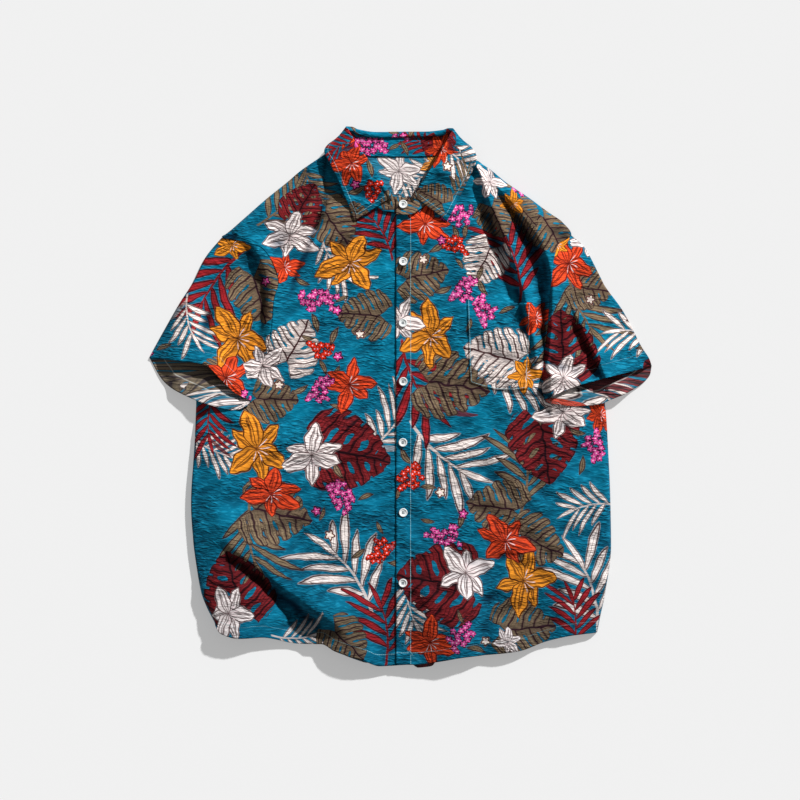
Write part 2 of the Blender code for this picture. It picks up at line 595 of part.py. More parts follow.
def build():
    for old in list(bpy.data.objects):
        bpy.data.objects.remove(old)
    back()
    front("front_right", RIGHT_EDGE, RIGHT_FOLD, RIGHT_SIDE, RIGHT_HEM, front_height)
    front("front_left", LEFT_EDGE, LEFT_FOLD, LEFT_SIDE, LEFT_HEM, left_front_height)
    sleeve("sleeve_right", RIGHT_SLEEVE)
    sleeve("sleeve_left", LEFT_SLEEVE)
    collar_stand()
    collar_leaf()
    pocket()
    button(1, BUTTON_X, TOP_BUTTON_Y, stand_height)
    for number, y in enumerate(BUTTON_YS, start=2):
        button(number, BUTTON_X, y, left_front_height)


build()
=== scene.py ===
# %% [markdown]
# # A printed short-sleeved shirt, laid flat
#
# This lesson dresses the frame of a buttoned shirt: fronts, back, sleeves, collar, pocket
# and buttons. Every piece of cloth is a thin sheet. Its net of points starts as Blender's
# grid and is then bent by formulas that use the same sizes as the frame, in metres.
# "Left" and "right" are the wearer's, so the right front lies at -X.

# %% Load the frame
import json
import math

import bpy
import numpy as np
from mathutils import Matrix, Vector

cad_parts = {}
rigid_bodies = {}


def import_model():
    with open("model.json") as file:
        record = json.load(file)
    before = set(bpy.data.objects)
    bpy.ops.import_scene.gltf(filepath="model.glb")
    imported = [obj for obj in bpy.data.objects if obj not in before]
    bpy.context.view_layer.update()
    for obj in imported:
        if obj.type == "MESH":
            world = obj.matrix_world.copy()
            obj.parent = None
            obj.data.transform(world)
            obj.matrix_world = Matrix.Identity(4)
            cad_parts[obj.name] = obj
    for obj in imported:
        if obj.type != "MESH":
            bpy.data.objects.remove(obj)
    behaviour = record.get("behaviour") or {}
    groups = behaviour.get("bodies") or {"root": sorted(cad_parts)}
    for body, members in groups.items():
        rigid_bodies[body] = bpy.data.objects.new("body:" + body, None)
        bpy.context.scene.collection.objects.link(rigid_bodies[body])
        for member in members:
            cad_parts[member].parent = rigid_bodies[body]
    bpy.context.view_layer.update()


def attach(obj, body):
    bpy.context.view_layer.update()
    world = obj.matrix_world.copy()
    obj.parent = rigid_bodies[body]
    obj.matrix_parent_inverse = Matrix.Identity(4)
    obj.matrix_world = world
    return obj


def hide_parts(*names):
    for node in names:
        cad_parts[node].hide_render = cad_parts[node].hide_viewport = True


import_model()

# %% [markdown]
# ## Camera, floor and light
#
# The shirt is seen from straight above, so the camera looks down and stands well back,
# where perspective hardly shows. The light is a low, small sun, which draws every crease
# and casts a short shadow with a clear edge, and an even sky that fills the shadows. An
# area light would do as well, but its strength changes over the cloth.

# %% Camera
LENS, SENSOR = 100.0, 36.0  # millimetres
VIEW_WIDTH = 1.088  # width of the ground that the camera sees
MIDDLE = (-0.0007, -0.0034)

scene = bpy.context.scene
eye = bpy.data.cameras.new("overhead")
eye.lens, eye.sensor_width = LENS, SENSOR
camera = bpy.data.objects.new("overhead", eye)
camera.location = (*MIDDLE, VIEW_WIDTH * LENS / SENSOR)
scene.collection.objects.link(camera)
scene.camera = camera
scene.view_settings.view_transform = "Standard"
print("camera height:", round(camera.location.z, 3))

# %% Sun and sky
SUN_FROM = Vector((0.60, 0.80, 0.60))
SUN_POWER, SUN_SPREAD, SKY_POWER = 5.5, math.radians(2.5), 0.24

sun = bpy.data.lights.new("sun", "SUN")
sun.energy, sun.angle = SUN_POWER, SUN_SPREAD
lamp = bpy.data.objects.new("sun", sun)
lamp.rotation_euler = SUN_FROM.to_track_quat("Z", "Y").to_euler()
scene.collection.objects.link(lamp)

sky = bpy.data.worlds.new("sky")
sky.use_nodes = True
sky.node_tree.nodes["Background"].inputs["Color"].default_value = (1.0, 1.0, 1.0, 1.0)
sky.node_tree.nodes["Background"].inputs["Strength"].default_value = SKY_POWER
scene.world = sky
print("sun stands", round(math.degrees(math.asin(SUN_FROM.normalized().z))), "degrees up")

# %% [markdown]
# ## Writing materials as sums
#
# A pattern on cloth is a sum: how far is this spot from the middle of a petal, and is that
# less than the petal's width? Wired by hand that takes hundreds of Math nodes. A small
# class that stands for one socket and answers to +, -, * and / writes the same nodes from
# plain expressions, and one method makes any other node.


# %% Sockets that can be added and multiplied
class Wire:
    """A socket of a material. A sum on it adds the Math node that works it out."""

    def __init__(self, finish, socket):
        self.finish, self.socket = finish, socket

    def maths(self, operation, *others):
        values = {0: self, **dict(enumerate(others, start=1))}
        return self.finish.node("ShaderNodeMath", {"operation": operation}, values)

    def __add__(self, other):
        return self.maths("ADD", other)

    def __sub__(self, other):
        return self.maths("SUBTRACT", other)

    def __rsub__(self, other):
        return self.finish.node("ShaderNodeMath", {"operation": "SUBTRACT"}, {0: other, 1: self})

    def __mul__(self, other):
        return self.maths("MULTIPLY", other)

    def __truediv__(self, other):
        return self.maths("DIVIDE", other)

    __radd__, __rmul__ = __add__, __mul__

    def abs(self):
        return self.maths("ABSOLUTE")

    def floor(self):
        return self.maths("FLOOR")

    def frac(self):
        return self.maths("FRACT")

    def sign(self):
        return self.maths("SIGN")

    def sin(self):
        return self.maths("SINE")

    def cos(self):
        return self.maths("COSINE")

    def sqrt(self):
        return self.maths("SQRT")

    def power(self, exponent):
        return self.maths("MAXIMUM", 0.0).maths("POWER", exponent)

    def least(self, other):
        return self.maths("MINIMUM", other)

    def most(self, other):
        return self.maths("MAXIMUM", other)

    def angle(self, x):
        return self.maths("ARCTAN2", x)

    def below(self, edge, soft):
        """1 where the value is under the edge and 0 above it, with a soft step between."""
        if isinstance(edge, Wire):
            return (self - edge).below(0.0, soft)
        values = {0: self, 1: edge - soft, 2: edge + soft, 3: 1.0, 4: 0.0}
        return self.finish.node("ShaderNodeMapRange", {}, values)


# %% A material that is built from such sockets
class Finish:
    """A material with one Principled shader, whose roughness and sheen are plain numbers."""

    def __init__(self, name, **plain):
        self.material = bpy.data.materials.new(name)
        self.material.use_nodes = True
        self.tree = self.material.node_tree
        self.shader = self.tree.nodes["Principled BSDF"]
        for socket, value in plain.items():
            self.shader.inputs[socket.replace("_", " ")].default_value = value

    def node(self, kind, settings, values, out=0):
        """Adds a node, sets it up, fills or links its sockets and gives one output."""
        made = self.tree.nodes.new(kind)
        for name, value in settings.items():
            if name == "stops":
                ramp = made.color_ramp
                ramp.interpolation = "CONSTANT"
                for place, colour in value:
                    stop = ramp.elements[0] if place == 0 else ramp.elements.new(place)
                    stop.color = colour
            else:
                setattr(made, name, value)
        for place, value in values.items():
            if isinstance(value, Wire):
                self.tree.links.new(value.socket, made.inputs[place])
            else:
                made.inputs[place].default_value = value
        return Wire(self, made.outputs[out])

    def mix(self, share, first, second, way="MIX"):
        settings = {"data_type": "RGBA", "blend_type": way}
        return self.node("ShaderNodeMix", settings, {0: share, 6: first, 7: second}, out=2)

    def split(self, vector):
        """The three numbers of a vector."""
        first = self.node("ShaderNodeSeparateXYZ", {}, {0: vector})
        return [Wire(self, socket) for socket in first.socket.node.outputs]

    def attribute(self, name):
        """The three numbers that a mesh attribute holds here."""
        return self.split(self.node("ShaderNodeAttribute", {"attribute_name": name}, {}, out=1))

    def feed(self, socket, wire):
        self.tree.links.new(wire.socket, self.shader.inputs[socket])


def tone(red, green, blue):
    """A colour as Blender wants it, from the usual 0 to 255."""
    shares = [value / 255.0 for value in (red, green, blue)]
    return (*[s / 12.92 if s <= 0.04045 else ((s + 0.055) / 1.055) ** 2.4 for s in shares], 1.0)


print("a Wire sum adds one Math node, and tone(240, 240, 240) is", round(tone(240, 240, 240)[0], 3))

# %% [markdown]
# ## Floor
#
# A plain pale table under the shirt. A grid with one face is enough, because it is only
# there to catch the shadow.

# %% Floor
FLOOR_SIZE, FLOOR_DROP, FLOOR_TONE = 30.0, 0.0002, 0.49
FLOOR_GLOW = 0.315  # as on a light table, which keeps the shadows soft and pale

bpy.ops.object.select_all(action="DESELECT")
bpy.ops.mesh.primitive_plane_add(size=FLOOR_SIZE, location=(0.0, 0.0, -FLOOR_DROP))
floor = bpy.context.object
floor.name = "floor"
paint = Finish("floor_paint", Roughness=0.9, Specular_IOR_Level=0.1)
paint.shader.inputs["Base Color"].default_value = (FLOOR_TONE, FLOOR_TONE, FLOOR_TONE, 1.0)
paint.shader.inputs["Emission Color"].default_value = (1.0, 1.0, 1.0, 1.0)
paint.shader.inputs["Emission Strength"].default_value = FLOOR_GLOW
floor.data.materials.append(paint.material)
print("floor laid", FLOOR_DROP * 1000, "mm under the shirt")

# %% [markdown]
# ## The shirt's own sizes
#
# These are the frame's sizes: the thickness of its layers, and guides that run down each
# front as rows of (y, x). The sheets below follow the same guides, so each one lies in the
# place of the piece that it stands for.

# %% Sizes and guides
PLY = 0.0018  # from one layer of the frame to the next
LIE = 0.0027  # middle of a front where it lies on the back
LOWEST = 0.0022  # nothing presses a front lower than this
LOFT, EASE = 0.0024, 0.035  # the air under the fronts, and over what width it builds up
OPEN_LOFT = 0.0026  # more air in the middle of each front
LAP_LIFT, LAP_FROM_X, LAP_RAMP = 0.0022, 0.055, 0.035  # the left front over the right one
HALF_CHEST, HEM_Y, HEM_BEND, SHOULDER_Y = 0.280, -0.364, -0.200, 0.331
SHOULDER_X, SHOULDER_SLANT = 0.108, (0.63, 0.776)  # where the shoulder line starts, and its normal
EDGE_X, UNDERLAP_X, NECK_Y = -0.006, 0.014, 0.247

RIGHT_EDGE = (
    (HEM_Y, UNDERLAP_X), (0.2465, UNDERLAP_X), (0.250, -0.014), (0.263, -0.038),
    (0.280, -0.057), (0.301, -0.071), (0.314, -0.077), (0.334, -0.084),
)
RIGHT_SIDE = (
    (HEM_Y, -0.252), (-0.330, -0.263), (-0.300, -0.270), (-0.250, -0.276), (-0.194, -0.281),
    (-0.146, -0.284), (-0.058, -0.279), (-0.001, -0.277), (0.010, -0.214), (0.014, -0.200),
    (0.048, -0.187), (0.092, -0.175), (0.133, -0.171), (0.156, -0.165), (0.180, -0.172),
    (0.203, -0.188), (0.211, -0.211), (0.218, -0.243), (0.222, -0.237), (0.240, -0.216),
    (0.269, -0.183), (0.294, -0.152), (0.307, -0.137), (0.327, -0.108), (0.334, -0.098),
)
RIGHT_HEM = (
    (-0.252, -0.305), (-0.243, -0.319), (-0.218, -0.326), (-0.188, -0.325), (-0.137, -0.334),
    (-0.107, -0.334), (-0.089, -0.343), (-0.069, -0.350), (-0.048, -0.357), (-0.028, -0.364),
    (UNDERLAP_X, -0.362),
)
LEFT_EDGE = (
    (HEM_Y, EDGE_X), (NECK_Y, EDGE_X), (0.251, 0.018), (0.263, 0.038),
    (0.280, 0.057), (0.301, 0.071), (0.314, 0.077), (0.321, 0.079),
)
LEFT_SIDE = (
    (HEM_Y, 0.267), (-0.330, 0.272), (-0.290, 0.278), (-0.201, 0.286), (-0.139, 0.285),
    (-0.071, 0.282), (-0.006, 0.277), (0.005, 0.211), (0.014, 0.192), (0.051, 0.194),
    (0.092, 0.199), (0.133, 0.202), (0.167, 0.205), (0.190, 0.208), (0.208, 0.214),
    (0.221, 0.232), (0.239, 0.219), (0.250, 0.203), (0.270, 0.176), (0.293, 0.142),
    (0.308, 0.124), (0.321, 0.105),
)
LEFT_HEM = (
    (EDGE_X, -0.362), (0.013, -0.362), (0.048, -0.358), (0.081, -0.352), (0.135, -0.347),
    (0.163, -0.343), (0.197, -0.331), (0.231, -0.323), (0.267, -0.319),
)
print("guides:", len(RIGHT_SIDE), "rows down the right side,", len(LEFT_SIDE), "down the left")


# %% Smooth steps, smooth guides and smooth lines
SOFT_FLOOR = 0.0016


def ease(share):
    """A soft step: 0 below 0, 1 above 1."""
    share = np.clip(share, 0.0, 1.0)
    return share * share * (3.0 - 2.0 * share)


def at_least(height, floor):
    """Height with a soft lower limit."""
    over = height - floor
    return floor + 0.5 * (over + np.sqrt(over * over + SOFT_FLOOR**2))


def guide(rows):
    """A smooth curve through (place, value) rows that never swings past them."""
    places, values = np.array(sorted(rows), float).T
    steps = np.diff(values) / np.diff(places)
    before, after = steps[:-1], steps[1:]
    same_way = before * after > 0
    total = np.where(same_way, before + after, 1.0)
    inner = np.where(same_way, 2 * before * after / total, 0.0)
    slopes = np.concatenate(([steps[0]], inner, [steps[-1]]))

    def at(place):
        place = np.clip(place, places[0], places[-1])
        k = np.clip(np.searchsorted(places, place, side="right") - 1, 0, len(steps) - 1)
        width = places[k + 1] - places[k]
        t = (place - places[k]) / width
        rise = width * t * (1 - t) * ((1 - t) * slopes[k] - t * slopes[k + 1])
        return (1 - t) ** 2 * (1 + 2 * t) * values[k] + t * t * (3 - 2 * t) * values[k + 1] + rise

    return at


def rounded(points, count):
    """count points on a smooth line through the given ones, evenly spaced as seen from above."""
    points = np.array(points, float)
    ends = np.vstack((2 * points[0] - points[1], points, 2 * points[-1] - points[-2]))
    t = np.linspace(0.0, 1.0, 12, endpoint=False)[:, None]
    bits = [
        0.5 * (2 * b + (c - a) * t + (2 * a - 5 * b + 4 * c - d) * t**2 + (3 * b - a - 3 * c + d) * t**3)
        for a, b, c, d in zip(ends, ends[1:], ends[2:], ends[3:])
    ]
    line = np.vstack((*bits, points[-1:]))
    run = np.concatenate(([0.0], np.cumsum(np.hypot(*np.diff(line[:, :2], axis=0).T))))
    places = np.linspace(0.0, run[-1], count)
    return np.stack([np.interp(places, run, axis) for axis in line.T], axis=1)


def near_line(line, x, y):
    """How far each spot is from a line of (x, y, value), on which side, and the value there."""
    shape = np.shape(x)
    away, side, value = np.full(shape, np.inf), np.ones(shape), np.zeros(shape)
    for (ax, ay, first), (bx, by, second) in zip(line, line[1:]):
        run_x, run_y = bx - ax, by - ay
        share = np.clip(((x - ax) * run_x + (y - ay) * run_y) / (run_x**2 + run_y**2), 0.0, 1.0)
        off_x, off_y = x - ax - share * run_x, y - ay - share * run_y
        distance = np.hypot(off_x, off_y)
        closer = distance < away
        away = np.where(closer, distance, away)
        side = np.where(closer, np.where(run_x * off_y - run_y * off_x > 0.0, 1.0, -1.0), side)
        value = np.where(closer, first + (second - first) * share, value)
    return away, side, value


print("halfway down, the right side stands at x =", round(float(guide(RIGHT_SIDE)(-0.1)), 4))

# %% [markdown]
# ## Folds and crinkles
#
# The cloth is a light crinkled cotton that was smoothed by hand, so it has a few large
# folds, many soft hollows and a fine crosswise crinkle. A cloth simulation would make
# other folds each time. Here the large folds are listed: each is a line with a
# height, and a reach on its left and right, seen from its first point, so that one side
# can fall steeply and the other gently. Hollows and crinkles come from smooth noise,
# which is stretched across the cloth for the crinkle.

# %% Folds of the body, as line of (x, y, share), height, reach left, reach right
FOLDS = (
    # From the left shoulder down to the underarm, narrow, with a steep left flank.
    (((0.098, 0.326, 0.4), (0.106, 0.309, 0.8), (0.116, 0.280, 1.0), (0.131, 0.240, 1.0),
      (0.148, 0.200, 1.0), (0.162, 0.160, 1.0), (0.174, 0.115, 0.9), (0.182, 0.070, 0.7),
      (0.188, 0.020, 0.1)),
     0.0125, 0.0110, 0.0048),
    (((0.094, 0.306, 0.0), (0.106, 0.270, 0.8), (0.124, 0.222, 1.0), (0.140, 0.165, 1.0),
      (0.152, 0.115, 0.6), (0.160, 0.070, 0.0)),
     -0.0030, 0.0060, 0.0060),
    # A wide one from the shoulder round the armhole: its inner flank overhangs the first.
    (((0.122, 0.298, 0.0), (0.140, 0.276, 0.7), (0.164, 0.248, 1.0), (0.184, 0.219, 1.0),
      (0.200, 0.186, 1.0), (0.206, 0.150, 1.0), (0.205, 0.105, 1.0), (0.203, 0.055, 1.0),
      (0.203, 0.010, 0.5)),
     0.0130, 0.0300, 0.0042),
    (((0.140, 0.258, 0.0), (0.166, 0.228, 0.8), (0.185, 0.180, 1.0), (0.193, 0.120, 1.0),
      (0.194, 0.050, 1.0), (0.192, 0.000, 0.3)),
     -0.0060, 0.0050, 0.0070),
    (((0.118, 0.304, 0.2), (0.136, 0.262, 1.0), (0.156, 0.222, 0.6), (0.170, 0.185, 0.0)),
     0.0030, 0.0050, 0.0050),
    # The cloth at the right shoulder laps over the chest.
    (((-0.106, 0.333, 0.5), (-0.107, 0.300, 0.9), (-0.109, 0.272, 1.0), (-0.118, 0.243, 1.0),
      (-0.130, 0.213, 0.9), (-0.142, 0.183, 0.7), (-0.152, 0.155, 0.5), (-0.160, 0.125, 0.0)),
     0.0085, 0.0036, 0.0300),
    (((-0.100, 0.325, 0.3), (-0.101, 0.295, 0.8), (-0.103, 0.268, 1.0), (-0.112, 0.238, 1.0),
      (-0.124, 0.207, 1.0), (-0.137, 0.176, 0.9), (-0.147, 0.148, 0.5), (-0.154, 0.120, 0.0)),
     -0.0026, 0.0050, 0.0036),
    # Along the right armhole, steep towards the sleeve.
    (((-0.216, 0.218, 0.1), (-0.196, 0.200, 0.8), (-0.183, 0.170, 1.0), (-0.179, 0.134, 1.0),
      (-0.184, 0.096, 0.6), (-0.192, 0.060, 0.0)),
     0.0120, 0.0190, 0.0048),
    (((-0.228, 0.200, 0.2), (-0.209, 0.180, 1.0), (-0.197, 0.150, 1.0), (-0.194, 0.112, 0.7),
      (-0.200, 0.078, 0.0)),
     -0.0042, 0.0050, 0.0110),
    (((-0.150, 0.262, 0.0), (-0.176, 0.243, 0.9), (-0.206, 0.224, 0.8), (-0.226, 0.214, 0.0)),
     0.0040, 0.0100, 0.0060),
    # Across the lower right corner, with the trough and the lobe below it.
    (((-0.252, -0.165, 0.0), (-0.232, -0.194, 0.4), (-0.207, -0.216, 0.8), (-0.180, -0.236, 1.0),
      (-0.158, -0.255, 1.0), (-0.134, -0.272, 1.0), (-0.112, -0.288, 1.0), (-0.088, -0.302, 0.7),
      (-0.062, -0.326, 0.0)),
     0.0130, 0.0340, 0.0090),
    (((-0.252, -0.190, 0.0), (-0.222, -0.226, 0.8), (-0.188, -0.252, 1.0), (-0.154, -0.282, 1.0),
      (-0.122, -0.306, 1.0), (-0.096, -0.330, 0.4)),
     -0.0070, 0.0110, 0.0150),
    (((-0.180, -0.262, 0.0), (-0.156, -0.290, 1.0), (-0.138, -0.312, 1.0), (-0.118, -0.332, 0.5)),
     -0.0060, 0.0150, 0.0260),
    (((-0.236, -0.226, 0.0), (-0.206, -0.250, 0.9), (-0.180, -0.274, 1.0), (-0.162, -0.296, 0.7),
      (-0.152, -0.306, 0.0)),
     0.0046, 0.0045, 0.0170),
    # A soft roll and hollow above the left hem.
    (((0.050, -0.345, 0.0), (0.080, -0.300, 0.9), (0.115, -0.262, 1.0), (0.165, -0.240, 0.0)),
     0.0045, 0.0180, 0.0090),
    (((0.090, -0.348, 0.4), (0.112, -0.315, 1.0), (0.140, -0.292, 0.9), (0.200, -0.270, 0.0)),
     -0.0038, 0.0090, 0.0140),
    # Pull from the right underarm towards the buttons, and two from the left one.
    (((-0.260, -0.010, 0.3), (-0.215, -0.028, 1.0), (-0.150, -0.048, 0.0)), 0.0040, 0.0090, 0.0110),
    (((0.262, -0.012, 0.3), (0.215, -0.030, 1.0), (0.160, -0.035, 0.0)), 0.0040, 0.0100, 0.0070),
    (((0.270, -0.045, 0.0), (0.225, -0.062, 1.0), (0.170, -0.105, 0.0)), 0.0030, 0.0100, 0.0120),
    # Slack beside the button edge.
    (((-0.022, 0.235, 0.0), (-0.020, 0.195, 1.0), (-0.024, 0.150, 0.0)), 0.0030, 0.0070, 0.0120),
    (((-0.030, 0.060, 0.0), (-0.070, 0.035, 1.0), (-0.120, 0.045, 0.0)), 0.0022, 0.0160, 0.0120),
    (((0.045, -0.050, 0.0), (0.085, -0.085, 1.0), (0.135, -0.095, 0.0)), 0.0026, 0.0180, 0.0120),
)
# Extra air under the hem as rows of (x, height).
HEM_LIFT = (
    (-0.252, 0.0070), (-0.215, 0.0085), (-0.184, 0.0055), (-0.149, 0.0020), (-0.115, 0.0110),
    (-0.078, 0.0185), (-0.050, 0.0165), (-0.012, 0.0050), (0.012, 0.0055), (0.048, 0.0185),
    (0.074, 0.0215), (0.098, 0.0155), (0.120, 0.0055), (0.145, 0.0065), (0.175, 0.0020),
    (0.205, 0.0002), (0.225, 0.0040), (0.262, 0.0020),
)
HEM_ROLL_Y, HEM_OUTER, HEM_INNER = -0.300, 0.100, 0.070
# Rolls inside the lower sides as rows of (y, height), the right side's and the left one's.
SIDE_ROLL = (
    ((-0.364, 0.0060), (-0.300, 0.0080), (-0.230, 0.0125), (-0.180, 0.0130), (-0.130, 0.0100),
     (-0.070, 0.0070), (0.000, 0.0)),
    ((-0.364, 0.0030), (-0.250, 0.0030), (-0.170, 0.0045), (-0.100, 0.0030), (-0.030, 0.0)),
)
ROLL_IN, ROLL_OUTER, ROLL_INNER = 0.040, 0.028, 0.050
print("large folds of the body:", len(FOLDS))


# %% Height of the folds
def folded(folds, x, y):
    """How far a table of folds lifts the cloth."""
    total = np.zeros(np.shape(x))
    for line, height, left, right in folds:
        away, side, share = near_line(rounded(line, 4 * len(line)), x, y)
        total += height * share * np.exp(-((away / np.where(side > 0, left, right)) ** 2))
    return total


def hills(x, y, wide, tall, seed):
    """Smooth random hills and hollows, about -1 to 1, each some wide by tall metres."""
    u, v = x / wide + 17.31 * seed, y / tall - 9.17 * seed
    column, row = np.floor(u), np.floor(v)
    du, dv = u - column, v - row

    def slope(i, j):
        turn = np.sin((column + i) * 127.1 + (row + j) * 311.7 + seed * 74.7) * 43758.5453
        turn = math.tau * (turn - np.floor(turn))
        return np.cos(turn) * (du - i) + np.sin(turn) * (dv - j)

    su, sv = [d**3 * (d * (d * 6 - 15) + 10) for d in (du, dv)]
    low = slope(0, 0) + su * (slope(1, 0) - slope(0, 0))
    high = slope(0, 1) + su * (slope(1, 1) - slope(0, 1))
    return 1.5 * (low + sv * (high - low))


def crinkle(x, y):
    """The crinkle and the hollows between the large folds, alike on every layer."""
    bent = y + 0.004 * hills(x, y, 0.060, 0.040, 3) + 0.10 * x * hills(x, y, 0.25, 0.20, 9)
    up, down = bent + 0.18 * x, bent - 0.20 * x
    sharp = 1.0 - np.abs(hills(x, up, 0.042, 0.0105, 1)) - np.abs(hills(x, down, 0.036, 0.0095, 11))
    up, down = bent + 0.24 * x, bent - 0.22 * x
    finer = 1.0 - np.abs(hills(x, up, 0.025, 0.0062, 2)) - np.abs(hills(x, down, 0.021, 0.0058, 13))
    patch = 0.6 + 0.7 * hills(x, y, 0.080, 0.060, 5)
    high, calm = ease((y - 0.05) / 0.15), 1.0 - 0.6 * ease((-0.26 - y) / 0.06)
    return (
        0.00090 * sharp * patch + 0.00044 * finer
        + 0.0050 * hills(x, y, 0.120, 0.080, 4)
        + 0.0034 * calm * hills(x, y + 0.5 * np.abs(x), 0.052, 0.028, 6)
        + 0.0017 * calm * hills(x, y - 0.4 * x, 0.028, 0.013, 12)
        + 0.0015 * high * hills(x + 0.25 * y * np.sign(x), y, 0.022, 0.090, 7)
    )


sample = crinkle(np.linspace(0.05, 0.06, 4), np.full(4, 0.1))
print("crinkle at the chest, in mm:", np.round(1000 * sample, 2))


# %% Outline of the body
UNDERARM_Y, SHOULDER_TIP_Y = -0.004, 0.220  # between them the sleeve is sewn on


def near_hem(y):
    """1 at the lowest row of a net and 0 above the bend."""
    return np.maximum(0.0, (HEM_BEND - y) / (HEM_BEND - HEM_Y))


def above_lowest(hem_rows, x):
    """How far the line of the hem lies above the lowest row."""
    return guide([(place, level - HEM_Y) for place, level in hem_rows])(x)


OUTLINE = []
for rows, hem in ((RIGHT_SIDE, RIGHT_HEM), (LEFT_SIDE, LEFT_HEM)):
    side_y = np.linspace(HEM_Y, max(row[0] for row in rows), 240)
    side_x = guide(rows)(side_y)
    side_y = side_y + near_hem(side_y) * above_lowest(hem, side_x)
    for kept in (side_y < UNDERARM_Y, side_y > SHOULDER_TIP_Y):
        OUTLINE.append(np.stack((side_x[kept], side_y[kept], 0 * side_x[kept]), axis=1)[::2])

EDGE_ROUND, EDGE_Z, CURL_REACH = 0.0080, 0.0011, 0.018
# How far the right side seam curls up, as rows of (y, height).
SEAM_CURL = (
    (-0.400, 0.0), (-0.330, 0.0050), (-0.250, 0.0075), (-0.120, 0.0075), (-0.060, 0.0055),
    (-0.020, 0.0),
)
print("lines of the outline:", [len(line) for line in OUTLINE])


# %% Height of the body
def from_outline(x, y):
    """Distance from the body's folded sides and shoulders."""
    return np.min([near_line(line, x, y)[0] for line in OUTLINE], axis=0)


def side_lift(x, y):
    """How far the right side seam, and the back with it, curls up off the ground."""
    along = np.where(x < 0.0, guide(SEAM_CURL)(y), 0.0)
    return along * np.exp(-((from_outline(x, y) / CURL_REACH) ** 2))


def body_height(x, y):
    """The middle of the lower front layer above the ground, before its edges turn down."""
    slant_x, slant_y = SHOULDER_SLANT
    from_side = HALF_CHEST + 0.004 - np.abs(x)
    from_shoulder = slant_x * (SHOULDER_X - np.abs(x)) + slant_y * (SHOULDER_Y - y)
    by_side, by_shoulder = [1.0 - np.exp(-np.maximum(0.0, d) / EASE) for d in (from_side, from_shoulder)]
    loft = LOFT * by_shoulder * (0.6 + 0.4 * by_side)
    open_cloth = ease((np.abs(x - 0.004) - 0.018) / 0.060) * ease((0.285 - y) / 0.070)
    up = y - HEM_ROLL_Y
    lifted = guide(HEM_LIFT)(x) * np.exp(-((up / np.where(up < 0, HEM_OUTER, HEM_INNER)) ** 2))
    for sign, rows in zip((-1.0, 1.0), SIDE_ROLL):
        inward = HALF_CHEST - sign * x - ROLL_IN
        reach = np.where(inward < 0, ROLL_OUTER, ROLL_INNER)
        lifted = lifted + guide(rows)(y) * np.exp(-((inward / reach) ** 2))
    height = LIE + loft + OPEN_LOFT * open_cloth + lifted + folded(FOLDS, x, y) + crinkle(x, y)
    return at_least(height, LOWEST + side_lift(x, y))


def front_height(x, y):
    """The same with the sides and shoulders rounded down to the back."""
    inside = np.clip(from_outline(x, y) / EDGE_ROUND, 0.0, 1.0)
    edge, full = EDGE_Z + side_lift(x, y), body_height(x, y)
    return edge + (full - edge) * np.sqrt(1.0 - (1.0 - inside) ** 2)


def left_front_height(x, y):
    """The left front lies one layer higher where it laps over the right one."""
    return front_height(x, y) + LAP_LIFT * ease((LAP_FROM_X - x) / LAP_RAMP)


def upper_height(x, y):
    """The front that lies on top here."""
    return np.where(x > EDGE_X, left_front_height(x, y), front_height(x, y))


at_pocket = float(front_height(np.array(0.12), np.array(0.08)))
print("the front stands", round(1000 * at_pocket, 1), "mm high at the pocket")

# %% [markdown]
# ## From a net of points to a sheet of cloth
#
# A sheet starts as Blender's own grid with as many columns and rows as the net has, and
# each of its points is then put in place. Its UV map holds the place on the cloth in
# metres, so the print and the weave follow the cloth round its folds. Solidify gives the
# thickness. The inner side is marked with its own number, because the print is paler there.


# %% Net to sheet
def sheet(name, net, cloth, thread, wall, tube=False, double=False):
    """
    A sheet of cloth through a net of points.

    cloth holds each point's place on the flat cloth, and thread its distance across and
    along the nearest stitch line and how deep it lies in a hollow. A tube's first and last
    columns meet. A double sheet shows its right side on both faces.
    """
    rows, columns = net.shape[:2]
    bpy.ops.object.select_all(action="DESELECT")
    bpy.ops.mesh.primitive_grid_add(x_subdivisions=columns - 1, y_subdivisions=rows - 1, size=1.0)
    piece = bpy.context.object
    piece.name = piece.data.name = name
    mesh = piece.data
    mesh.vertices.foreach_set("co", net.ravel())
    corner = np.empty(len(mesh.loops), int)
    mesh.loops.foreach_get("vertex_index", corner)
    mesh.uv_layers[0].data.foreach_set("uv", cloth.reshape(-1, 2)[corner].ravel())
    mesh.attributes.new("thread", "FLOAT_VECTOR", "POINT").data.foreach_set("vector", thread.ravel())
    if tube:
        bpy.ops.object.mode_set(mode="EDIT")
        bpy.ops.mesh.select_all(action="SELECT")
        bpy.ops.mesh.remove_doubles(threshold=1e-6)
        bpy.ops.object.mode_set(mode="OBJECT")
    outer_faces = len(mesh.polygons)
    bpy.ops.object.modifier_add(type="SOLIDIFY")
    piece.modifiers[0].thickness = wall
    piece.modifiers[0].offset = 0.0
    bpy.ops.object.modifier_apply(modifier=piece.modifiers[0].name)
    bpy.ops.object.shade_smooth()
    mesh = piece.data
    inner = np.zeros(len(mesh.polygons))
    inner[outer_faces:2 * outer_faces] = 0.0 if double else 1.0
    mesh.attributes.new("inner", "FLOAT", "CORNER").data.foreach_set("value", np.repeat(inner, 4))
    print(name, "has", 2 * len(mesh.polygons), "triangles")
    return piece


# %% Hollows and lengths of a net
HOLLOW_REACH, FULL_HOLLOW = 6, 0.0034  # in points of the net, and in metres


